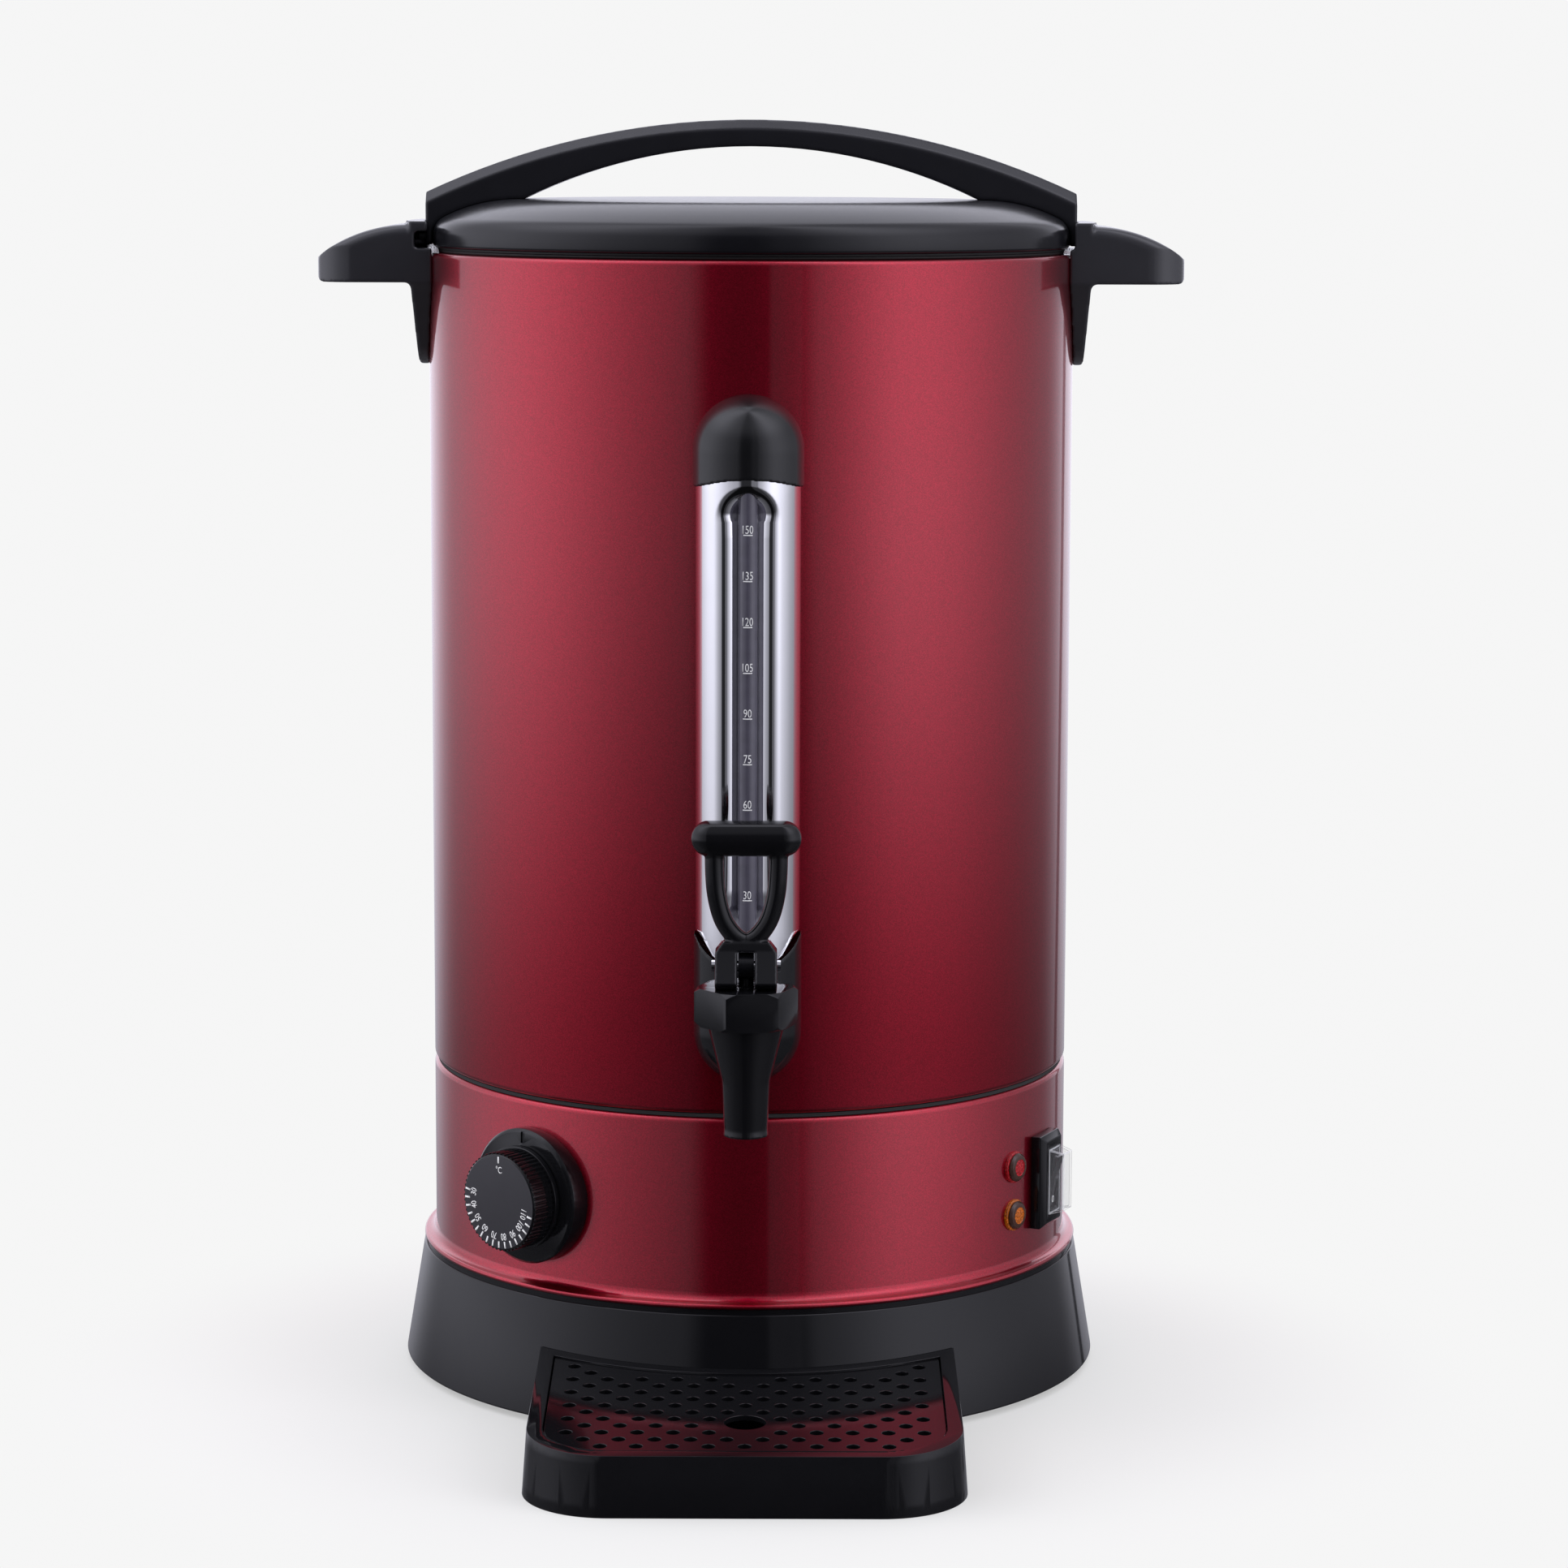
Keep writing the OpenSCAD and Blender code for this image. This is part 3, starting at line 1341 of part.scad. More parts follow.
module lid_handle() {
    color(gloss_black) difference() {
        union() {
            intersection() {
                place() translate([0, 0, arch_top - arch_r]) rotate([90, 0, 0]) rotate_extrude() polygon([
                    [arch_r / 2, -arch_d / 2],
                    [arch_r - arch_chamfer, -arch_d / 2],
                    [arch_r, arch_chamfer - arch_d / 2],
                    [arch_r, arch_d / 2 - arch_chamfer],
                    [arch_r - arch_chamfer, arch_d / 2],
                    [arch_r / 2, arch_d / 2]
                ]);
                place() translate([-leg_r, -arch_d, leg_z]) cube([2 * leg_r, 2 * arch_d, arch_top]);
            }
            place() translate([-leg_r - tab_reach, -tab_w / 2, leg_z])
                cube([2 * (leg_r + tab_reach), tab_w, tab_t]);
        }
        on_wall(0, arch_top - arch_t - arch_under_r) translate([0, 0, -body_r])
            cylinder(r = arch_under_r, h = 2 * body_r);
        place() rotate_extrude() lid_section(0);
        at_lid_screws() cylinder(r = screw_r, h = lid_screw_l);
    }
}

module thermostat_knob() {
    collar_h = 2.5;
    chamfer = 1.2;
    groove_r = 0.8;
    groove_out = 0.35;
    face_r = knob_r + groove_out - groove_r;
    color(gloss_black) on_wall(knob_az, knob_z) difference() {
        union() {
            translate([0, 0, knob_back]) cylinder(r = knob_r + 1.2, h = collar_h);
            translate([0, 0, knob_back]) linear_extrude(knob_face - chamfer - knob_back) difference() {
                circle(knob_r);
                for (i = [0:knurl_count - 1]) {
                    rotate(i * 360 / knurl_count) translate([knob_r + groove_out, 0])
                        circle(groove_r, $fn = 16);
                }
            }
            translate([0, 0, knob_face - chamfer - cut]) cylinder(r = face_r, h = cut);
            translate([0, 0, knob_face - chamfer])
                cylinder(r1 = face_r, r2 = face_r - chamfer, h = chamfer);
        }
        translate([0, 0, knob_back - cut]) cylinder(r = shaft_r, h = shaft_end - knob_back + cut);
    }
}

module thermostat_shaft() {
    z0 = thermostat_front - shaft_depth + cut;
    color(dull_steel) on_wall(knob_az, knob_z) translate([0, 0, z0])
        cylinder(r = shaft_r, h = shaft_end - z0);
}

// Plan of the tray, drawn in by an inset from its outline and from the skirt
module tray_plan(inset) {
    w = tray_w - 2 * tray_draft - 2 * inset;
    difference() {
        translate([0, -tray_front + tray_draft + inset])
            round_foot_plate(w, tray_front - body_r / 2, tray_corner - tray_draft - inset);
        circle(skirt_at(tray_back_h) + slide_gap + inset);
    }
}

// Tray block with leaning sides, up to a height
module tray_block(h) {
    half = tray_w / 2;
    back = body_r / 2;
    rotate([90, 0, 0]) translate([0, 0, back]) linear_extrude(tray_front - tray_corner - back)
        polygon([[-half, 0], [half, 0], [half - tray_draft, h], [tray_draft - half, h]]);
    rotate([90, 0, 90]) translate([0, 0, tray_corner - half]) linear_extrude(tray_w - 2 * tray_corner)
        polygon([[-tray_front, 0], [-back, 0], [-back, h], [tray_draft - tray_front, h]]);
    for (side = [-1, 1]) {
        translate([side * (half - tray_corner), tray_corner - tray_front, 0])
            cylinder(r1 = tray_corner, r2 = tray_corner - tray_draft, h = h);
    }
}

// Faces the tray's sloping rim: Z = 0 lies in the rim's plane
module on_rim() {
    place() translate([0, -rim_back, tray_back_h]) rotate([rim_slope, 0, 0])
        translate([0, rim_back, 0]) children();
}

module drip_tray() {
    above = 2 * tray_back_h;
    color(gloss_black) {
        difference() {
            place() tray_block(tray_back_h);
            on_rim() translate([-tray_w, -2 * tray_front, 0]) cube([2 * tray_w, 2 * tray_front, above]);
            place() cylinder(r1 = skirt_at(0) + slide_gap, r2 = skirt_at(above) + slide_gap, h = above);
            place() translate([0, 0, mould_t]) linear_extrude(above) tray_plan(tray_rim);
            on_rim() translate([0, 0, -grate_sink - grate_t]) linear_extrude(above)
                tray_plan(grate_inset);
        }
        intersection() {
            place() translate([-tongue_w / 2, -skirt_r0 - mould_t, tongue_z])
                cube([tongue_w, tongue_l + mould_t, tongue_t]);
            ring(2 * body_r, skirt_at(tongue_z) - tongue_l, 0, tray_back_h);
        }
    }
}

// Places of the grate's holes: rows that alternate by half a pitch, clear of the edge and the drain
function grate_holes() = [
    for (row = [0:floor(tray_d / hole_pitch_y)])
        for (col = [-ceil(tray_w / hole_pitch_x / 2):ceil(tray_w / hole_pitch_x / 2)])
            let (x = (col + (row % 2) / 2) * hole_pitch_x)
            let (y = -tray_front + tray_rim + first_row + row * hole_pitch_y)
            let (to_drain = norm([x, y + spout_hole_y]) - drain_r)
            if (grate_room([x, y]) > hole_r + hole_edge && to_drain > hole_r + hole_edge) [x, y]
];

// Distance from a point to the grate's edge
function grate_room(p) =
    let (half = tray_w / 2 - tray_draft - grate_inset, front = tray_front - tray_draft - grate_inset)
    let (c = tray_corner - tray_draft - grate_inset)
    let (side = half - abs(p.x), fore = front + p.y)
    let (corner = side < c && fore < c ? c - norm([c - side, c - fore]) : min(side, fore))
    min(corner, norm(p) - skirt_at(tray_back_h) - slide_gap - grate_inset);

module drip_grate() {
    color(gloss_black) on_rim() translate([0, 0, -grate_sink - grate_t])
        linear_extrude(grate_t) difference() {
            tray_plan(grate_inset + slide_gap);
            translate([0, -spout_hole_y]) circle(drain_r);
            for (p = grate_holes()) {
                translate(p) circle(hole_r, $fn = 24);
            }
        }
}

outer_shell();
lower_housing();
seam_gasket();
base_skirt();
base_plate();
rubber_feet();
base_screws();
inner_vessel();
vessel_floor();
heater_plate();
heater_element();
thermal_cutout();
tie_rod();
tie_nut();
thermostat_body();
thermostat_bulb();
knob_bezel();
switch_surround();
switch_body();
switch_boot();
lamp_red();
lamp_amber();
lamp_nuts();
cord_gland();
gland_nut();
terminal_block();
gauge_shield();
gauge_trough();
gauge_glass();
gauge_cap();
gauge_holder();
gauge_seals();
tap_body();
tap_bonnet();
tap_spacers();
tap_backnut();
tap_spring();
side_handle_left();
side_handle_right();
shell_screws();
lid_seal();
lid();
lid_handle();
lid_screws();
tap_stem();
tap_seat();
lever_pin();
tap_lever();
thermostat_knob();
thermostat_shaft();
switch_rocker();
drip_tray();
drip_grate();
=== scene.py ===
"""Looks of a red electric urn for hot drinks: its finishes, fine shapes, studio and camera."""
import json
import logging
import math
from dataclasses import dataclass
from enum import Enum
from typing import Any, Callable, Sequence, Union

import bmesh
import bpy
from mathutils import Matrix, Vector

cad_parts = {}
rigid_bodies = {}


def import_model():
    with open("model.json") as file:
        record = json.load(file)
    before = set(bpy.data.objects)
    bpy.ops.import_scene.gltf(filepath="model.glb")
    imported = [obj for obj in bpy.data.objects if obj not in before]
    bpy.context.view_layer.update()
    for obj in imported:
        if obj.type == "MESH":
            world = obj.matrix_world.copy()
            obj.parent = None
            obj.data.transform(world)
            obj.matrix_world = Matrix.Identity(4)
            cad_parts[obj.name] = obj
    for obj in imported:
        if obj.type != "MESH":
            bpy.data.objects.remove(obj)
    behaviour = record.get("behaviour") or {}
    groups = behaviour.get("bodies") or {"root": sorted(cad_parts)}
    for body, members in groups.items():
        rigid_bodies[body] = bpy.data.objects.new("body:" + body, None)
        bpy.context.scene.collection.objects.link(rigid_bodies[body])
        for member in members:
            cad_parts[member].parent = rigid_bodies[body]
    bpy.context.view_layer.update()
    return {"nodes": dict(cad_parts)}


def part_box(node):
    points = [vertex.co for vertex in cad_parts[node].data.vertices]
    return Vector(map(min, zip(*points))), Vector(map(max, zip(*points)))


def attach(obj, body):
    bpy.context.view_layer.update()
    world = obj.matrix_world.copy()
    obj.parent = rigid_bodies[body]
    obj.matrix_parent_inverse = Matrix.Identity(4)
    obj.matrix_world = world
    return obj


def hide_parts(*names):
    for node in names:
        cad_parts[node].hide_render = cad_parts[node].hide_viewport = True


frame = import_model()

LOG = logging.getLogger("urn")
# One millimetre in metres, and the small lengths that pieces share
MM = 0.001
WELD = 0.001 * MM
HAIR = 0.01 * MM
INK = 0.05 * MM
INK_LIFT = 0.02 * MM
TINY = 1e-6
ROUND_FACETS = 256
Triple = tuple[float, float, float]
Colour = Triple
Point = tuple[float, float]
Number = Union["Value", float]


class Slot(Enum):
    """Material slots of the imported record."""

    CANDY_RED = "candy_red"
    GLOSS_BLACK = "gloss_black"
    SATIN_BLACK = "satin_black"
    VESSEL_STEEL = "vessel_steel"
    ZINC_STEEL = "zinc_steel"
    CAST_ALUMINIUM = "cast_aluminium"
    BRIGHT_TRIM = "bright_trim"
    CLEAR_GLASS = "clear_glass"
    CLEAR_BOOT = "clear_boot"
    BLACK_RUBBER = "black_rubber"
    WHITE_SILICONE = "white_silicone"
    TERMINAL_WHITE = "terminal_white"
    LENS_RED = "lens_red"
    LENS_AMBER = "lens_amber"


SLOT_OF = {name: Slot(node.data.materials[0].name) for name, node in frame["nodes"].items()}
BODY_OF = {name: node.parent.name.split(":")[1] for name, node in frame["nodes"].items()}


class Value:
    """A number in a node tree; Python's operators on it add Math nodes."""

    def __init__(self, graph: "Graph", socket: bpy.types.NodeSocket) -> None:
        self.graph = graph
        self.socket = socket

    def math(self, operation: str, *operands: Number) -> "Value":
        """Adds one Math node.

        Args:
            operation: Name of the Math node's operation.
            operands: Its inputs in order.

        Returns:
            The node's result.
        """
        node = self.graph.node("ShaderNodeMath", dict(enumerate(operands)), operation=operation)
        return Value(self.graph, node.outputs[0])

    def __add__(self, other: Number) -> "Value":
        """Returns the sum."""
        return self.math("ADD", self, other)

    def __radd__(self, other: float) -> "Value":
        """Returns the sum."""
        return self.math("ADD", other, self)

    def __sub__(self, other: Number) -> "Value":
        """Returns the difference."""
        return self.math("SUBTRACT", self, other)

    def __rsub__(self, other: float) -> "Value":
        """Returns the difference."""
        return self.math("SUBTRACT", other, self)

    def __mul__(self, other: Number) -> "Value":
        """Returns the product."""
        return self.math("MULTIPLY", self, other)

    def __rmul__(self, other: float) -> "Value":
        """Returns the product."""
        return self.math("MULTIPLY", other, self)

    def __truediv__(self, other: Number) -> "Value":
        """Returns the quotient."""
        return self.math("DIVIDE", self, other)

    def __gt__(self, other: Number) -> "Value":
        """Returns 1 where this is the greater, else 0."""
        return self.math("GREATER_THAN", self, other)

    def step(self, low: float, high: float) -> "Value":
        """Returns a smooth step that is 0 up to low and 1 from high."""
        inputs = {"Value": self, "From Min": low, "From Max": high}
        return self.graph.number("ShaderNodeMapRange", "Result", inputs, interpolation_type="SMOOTHSTEP")

    def band(self, ends: tuple[float, float], soft: float) -> "Value":
        """Returns 1 between two ends and 0 beyond them, with soft edges."""
        low, high = ends
        return self.step(low - soft, low + soft) * (1.0 - self.step(high - soft, high + soft))


class Graph:
    """Adds nodes to a shader or geometry tree."""

    def __init__(self, tree: bpy.types.NodeTree) -> None:
        self.tree = tree

    def node(self, kind: str, inputs: dict[Any, Any] | None = None, **settings: Any) -> bpy.types.Node:
        """Adds any node.

        Args:
            kind: The node's type.
            inputs: Values or links by socket name or place.
            settings: Its properties, set before its sockets.

        Returns:
            The new node.
        """
        node = self.tree.nodes.new(kind)
        for name, setting in settings.items():
            setattr(node, name, setting)
        for name, content in (inputs or {}).items():
            self.feed(node.inputs[name], content)
        return node

    def feed(self, socket: bpy.types.NodeSocket, content: Any) -> None:
        """Links a value or a socket to an input, or sets the input's own number."""
        if isinstance(content, Value):
            self.tree.links.new(content.socket, socket)
        elif isinstance(content, bpy.types.NodeSocket):
            self.tree.links.new(content, socket)
        elif isinstance(content, tuple) and len(content) == 3 and socket.type == "RGBA":
            socket.default_value = (*content, 1.0)
        else:
            socket.default_value = content

    def number(self, kind: str, output: str, inputs: dict[Any, Any] | None = None,
               **settings: Any) -> Value:
        """Adds a node and returns one of its outputs as a number."""
        return Value(self, self.node(kind, inputs, **settings).outputs[output])

    def seen(self) -> Value:
        """Returns 1 for what the camera sees, straight or through something clear, else 0."""
        path = self.node("ShaderNodeLightPath")
        return Value(self, path.outputs["Is Camera Ray"]) + Value(self, path.outputs["Is Transmission Ray"])


class Surface(Graph):
    """A material's tree, with the patterns that the finishes share."""

    def __init__(self, material: bpy.types.Material) -> None:
        material.use_nodes = True
        material.node_tree.nodes.clear()
        super().__init__(material.node_tree)
        self.place = self.node("ShaderNodeTexCoord").outputs["Object"]

    def stretched(self, scale: Triple) -> bpy.types.NodeSocket:
        """Returns the place on the piece, stretched along its axes."""
        return self.node("ShaderNodeMapping", {"Vector": self.place, "Scale": scale}).outputs[0]

    def noise(self, size: float, detail: float = 3.0,
              vector: bpy.types.NodeSocket | None = None) -> Value:
        """Returns soft noise from 0 to 1.

        Args:
            size: Size of its patches.
            detail: Number of finer octaves.
            vector: Place to read, if not the plain one.

        Returns:
            The noise.
        """
        inputs = {"Vector": vector or self.place, "Scale": 1 / size, "Detail": detail}
        return self.number("ShaderNodeTexNoise", "Fac", inputs, noise_dimensions="3D")

    def mix(self, factor: Number, low: Any, high: Any) -> bpy.types.NodeSocket:
        """Returns a colour between two colours."""
        return self.node("ShaderNodeMix", {0: factor, 6: low, 7: high}, data_type="RGBA").outputs[2]

    def bump(self, height: Value, depth: float) -> bpy.types.NodeSocket:
        """Returns a normal roughened by a height of some depth."""
        inputs = {"Height": height, "Strength": 1.0, "Distance": depth}
        return self.node("ShaderNodeBump", inputs).outputs["Normal"]

    def principled(self, inputs: dict[str, Any]) -> None:
        """Ends the tree in one Principled shader."""
        shader = self.node("ShaderNodeBsdfPrincipled", inputs)
        self.node("ShaderNodeOutputMaterial", {"Surface": shader.outputs[0]})


def shade(colour: Colour, share: float) -> Colour:
    """Returns a colour made lighter or darker by a share."""
    red, green, blue = (min(channel * share, 1.0) for channel in colour)
    return red, green, blue


@dataclass(frozen=True)
class Finish:
    """A plain finish: a colour with soft mottling, uneven polish and a fine grain."""

    name: str
    colour: Colour
    roughness: float
    metallic: float = 0.0
    mottle: float = 0.12
    mottle_size: float = 14 * MM
    polish: float = 0.04
    grain: float = 0.01 * MM
    grain_size: float = 0.6 * MM
    constants: tuple[tuple[str, Any], ...] = ()

    def material(self) -> bpy.types.Material:
        """Returns the finish as a new material."""
        material = bpy.data.materials.new(self.name)
        surface = Surface(material)
        surface.principled(dict(self.constants) | self.sockets(surface))
        return material

    def tones(self, surface: Surface, pattern: Value, share: float) -> bpy.types.NodeSocket:
        """Returns the colour, darker and lighter by a share where a pattern is low and high."""
        return surface.mix(pattern, shade(self.colour, 1 - share), shade(self.colour, 1 + share))

    def paint(self, surface: Surface) -> bpy.types.NodeSocket:
        """Returns the colour with soft patches."""
        return self.tones(surface, surface.noise(self.mottle_size), self.mottle)

    def wear(self, surface: Surface) -> Value:
        """Returns the pattern from 0 to 1 that the polish follows."""
        return surface.noise(self.mottle_size / 3, 5.0)

    def relief(self, surface: Surface) -> bpy.types.NodeSocket:
        """Returns the normal with the fine grain."""
        return surface.bump(surface.noise(self.grain_size), self.grain)

    def sockets(self, surface: Surface) -> dict[str, Any]:
        """Returns the Principled shader's inputs."""
        return {
            "Base Color": self.paint(surface),
            "Metallic": self.metallic,
            "Roughness": self.roughness + self.polish * (2 * self.wear(surface) - 1),
            "Normal": self.relief(surface),
        }


@dataclass(frozen=True)
class Lacquer(Finish):
    """Clear-coated metallic lacquer with fine flakes."""

    flake: float = 0.32 * MM
    sparkle: float = 0.28

    def paint(self, surface: Surface) -> bpy.types.NodeSocket:
        """Returns the colour broken up into flakes."""
        inputs = {"Vector": surface.place, "Scale": 1 / self.flake}
        cells = surface.node("ShaderNodeTexVoronoi", inputs, feature="F1")
        split = surface.node("ShaderNodeSeparateColor", {"Color": cells.outputs["Color"]})
        return self.tones(surface, Value(surface, split.outputs[0]), self.sparkle)

    def wear(self, surface: Surface) -> Value:
        """Returns the broad patches of a sprayed coat."""
        return surface.noise(self.mottle_size)


@dataclass(frozen=True)
class Brushed(Finish):
    """Metal with fine lines left by a brush or a roller."""

    stroke: Triple = (6.0, 6.0, 900.0)
    scratch: float = 0.004 * MM

    def wear(self, surface: Surface) -> Value:
        """Returns the brush's lines."""
        return surface.noise(1.0, 4.0, surface.stretched(self.stroke))

    def relief(self, surface: Surface) -> bpy.types.NodeSocket:
        """Returns the normal with the brush's lines."""
        return surface.bump(self.wear(surface), self.scratch)


@dataclass(frozen=True)
class Lens(Finish):
    """Translucent moulded lens with a lit glow and a diamond hatch inside, with painted shade in the
    hatch's grooves.
    """

    hatch: float = 0.9 * MM
    hatch_depth: float = 0.15 * MM
    groove: tuple[float, float] = (0.1, 0.75)
    groove_shade: float = 0.45
    glow: float = 0.12

    def cells(self, surface: Surface) -> Value:
        """Returns the way from the middle of the hatch's nearest cell, in cells."""
        inputs = {"Vector": surface.place, "Scale": 1 / self.hatch}
        return surface.number("ShaderNodeTexVoronoi", "Distance", inputs, feature="F1")

    def paint(self, surface: Surface) -> bpy.types.NodeSocket:
        """Returns the colour with painted shade between the hatch's cells."""
        # Painted shade: the colour is darkened in the grooves between the hatch's cells
        between = self.cells(surface).step(*self.groove)
        return surface.mix(between, self.colour, shade(self.colour, self.groove_shade))

    def relief(self, surface: Surface) -> bpy.types.NodeSocket:
        """Returns the normal with the hatch."""
        return surface.bump(self.cells(surface), self.hatch_depth)

    def sockets(self, surface: Surface) -> dict[str, Any]:
        """Returns the plain inputs with the lamp's glow."""
        plain = super().sockets(surface)
        return plain | {"Emission Color": plain["Base Color"], "Emission Strength": self.glow}


FINISHES = {
    Slot.CANDY_RED: Lacquer(
        "candy_lacquer", (0.42, 0.006, 0.026), 0.36, metallic=1.0, polish=0.02, grain=0.004 * MM,
        grain_size=0.9 * MM, mottle_size=30 * MM,
        constants=(("Coat Weight", 1.0), ("Coat Roughness", 0.06))),
    Slot.GLOSS_BLACK: Finish(
        "gloss_moulding", (0.006, 0.006, 0.007), 0.08, polish=0.02, grain=0.001 * MM, grain_size=1.5 * MM,
        constants=(("Specular IOR Level", 0.34),)),
    Slot.SATIN_BLACK: Finish(
        "satin_moulding", (0.008, 0.008, 0.01), 0.2, grain=0.006 * MM, grain_size=0.45 * MM,
        constants=(("Specular IOR Level", 0.4),)),
    Slot.VESSEL_STEEL: Brushed("brushed_vessel", (0.66, 0.66, 0.67), 0.26, metallic=1.0, polish=0.08),
    Slot.ZINC_STEEL: Finish("zinc_plate", (0.5, 0.52, 0.55), 0.34, metallic=1.0, mottle=0.2),
    Slot.CAST_ALUMINIUM: Finish(
        "cast_metal", (0.55, 0.55, 0.56), 0.5, metallic=1.0, grain=0.08 * MM, grain_size=1.1 * MM),
    Slot.BRIGHT_TRIM: Finish(
        "bright_trim", (0.86, 0.86, 0.88), 0.07, metallic=1.0, mottle=0.03, polish=0.02, grain=0.0005 * MM,
        grain_size=4 * MM),
    Slot.CLEAR_GLASS: Finish(
        "gauge_tube", (0.085, 0.08, 0.105), 0.12, mottle=0.2, mottle_size=5 * MM, grain=0.0),
    Slot.CLEAR_BOOT: Finish(
        "clear_boot", (0.6, 0.61, 0.63), 0.05, mottle=0.02, polish=0.02, grain=0.01 * MM,
        grain_size=5 * MM, constants=(("Alpha", 0.08),)),
    Slot.BLACK_RUBBER: Finish("black_rubber", (0.018, 0.018, 0.018), 0.7, grain=0.05 * MM),
    Slot.WHITE_SILICONE: Finish("milky_silicone", (0.72, 0.71, 0.68), 0.45, mottle=0.05),
    Slot.TERMINAL_WHITE: Finish("white_print", (0.86, 0.86, 0.85), 0.5, mottle=0.05, mottle_size=2 * MM),
    Slot.LENS_RED: Lens("red_lens", (0.42, 0.01, 0.016), 0.16),
    Slot.LENS_AMBER: Lens("amber_lens", (0.55, 0.13, 0.008), 0.16),
}
SMOKED_RING = Finish("smoked_ring", (0.05, 0.022, 0.016), 0.2)
# Painted highlight: a white, less clear finish on the clear boot's rounded edges
BOOT_PAINTED_HIGHLIGHT = Finish("boot_edge", (0.8, 0.81, 0.83), 0.08, constants=(("Alpha", 0.6),))
CAP_BLACK = Finish("cap_moulding", (0.008, 0.008, 0.009), 0.17, grain=0.002 * MM)
ARCH_BLACK = Finish("arch_moulding", (0.014, 0.014, 0.017), 0.2, grain=0.003 * MM)
HANDLE_BLACK = Finish("handle_moulding", (0.036, 0.036, 0.041), 0.16, grain=0.003 * MM)
# Black painted shade for the dark gap under the lid, used on the vessel's rim and the lid's seal
RIM_PAINTED_SHADE = Finish("rim_seal", (0.006, 0.006, 0.006), 0.6)
DIAL_FACE = Finish("dial_face", (0.022, 0.021, 0.026), 0.42, grain=0.004 * MM)


class Palette:
    """Makes each finish into a material once and keeps it."""

    def __init__(self) -> None:
        self.made: dict[str, bpy.types.Material] = {}

    def of(self, finish: Finish) -> bpy.types.Material:
        """Returns a finish's material."""
        if finish.name not in self.made:
            self.made[finish.name] = finish.material()
        return self.made[finish.name]


PALETTE = Palette()


@dataclass(frozen=True)
class Corner:
    """Corner of an outline, with the radius that rounds it."""

    x: float
    y: float
    r: float = 0.0


def arc(x: float, y: float, r: float, start: float, end: float, steps: int) -> list[Point]:
    """Points along an arc.

    Args:
        x: Centre.
        y: Centre.
        r: Radius.
        start: First angle in degrees.
        end: Last angle in degrees.
        steps: Number of chords.

    Returns:
        The points, both ends included.
    """
    angles = [math.radians(start + (end - start) * i / steps) for i in range(steps + 1)]
    return [(x + r * math.cos(a), y + r * math.sin(a)) for a in angles]


def rounded(corners: Sequence[Corner], closed: bool = True, steps: int = 6) -> list[Point]:
    """Outline with rounded corners.

    Args:
        corners: Its corners in order.
        closed: Whether the last corner joins the first.
        steps: Chords in each rounding.

    Returns:
        The outline's points.
    """
    points: list[Point] = []
    spots = [Vector((c.x, c.y)) for c in corners]
    for i, corner in enumerate(corners):
        at_end = not closed and i in (0, len(corners) - 1)
        if corner.r <= 0 or at_end:
            points.append((corner.x, corner.y))
            continue
        before = (spots[i - 1] - spots[i]).normalized()
        after = (spots[(i + 1) % len(spots)] - spots[i]).normalized()
        half = before.angle(after) / 2
        centre = spots[i] + (before + after).normalized() * (corner.r / math.sin(half))
        start = spots[i] + before * (corner.r / math.tan(half)) - centre
        end = spots[i] + after * (corner.r / math.tan(half)) - centre
        turn = math.atan2(start.x * end.y - start.y * end.x, start.dot(end))
        first = math.degrees(math.atan2(start.y, start.x))
        points += arc(centre.x, centre.y, corner.r, first, first + math.degrees(turn), steps)
    return points


def full_turn(steps: int) -> list[float]:
    """Angles in radians of evenly spaced points on a circle."""
    return [2 * math.pi * i / steps for i in range(steps)]


def added(name: str, data: bpy.types.ID) -> bpy.types.Object:
    """Returns a new object in the scene, with its data."""
    thing = bpy.data.objects.new(name, data)
    bpy.context.scene.collection.objects.link(thing)
    return thing


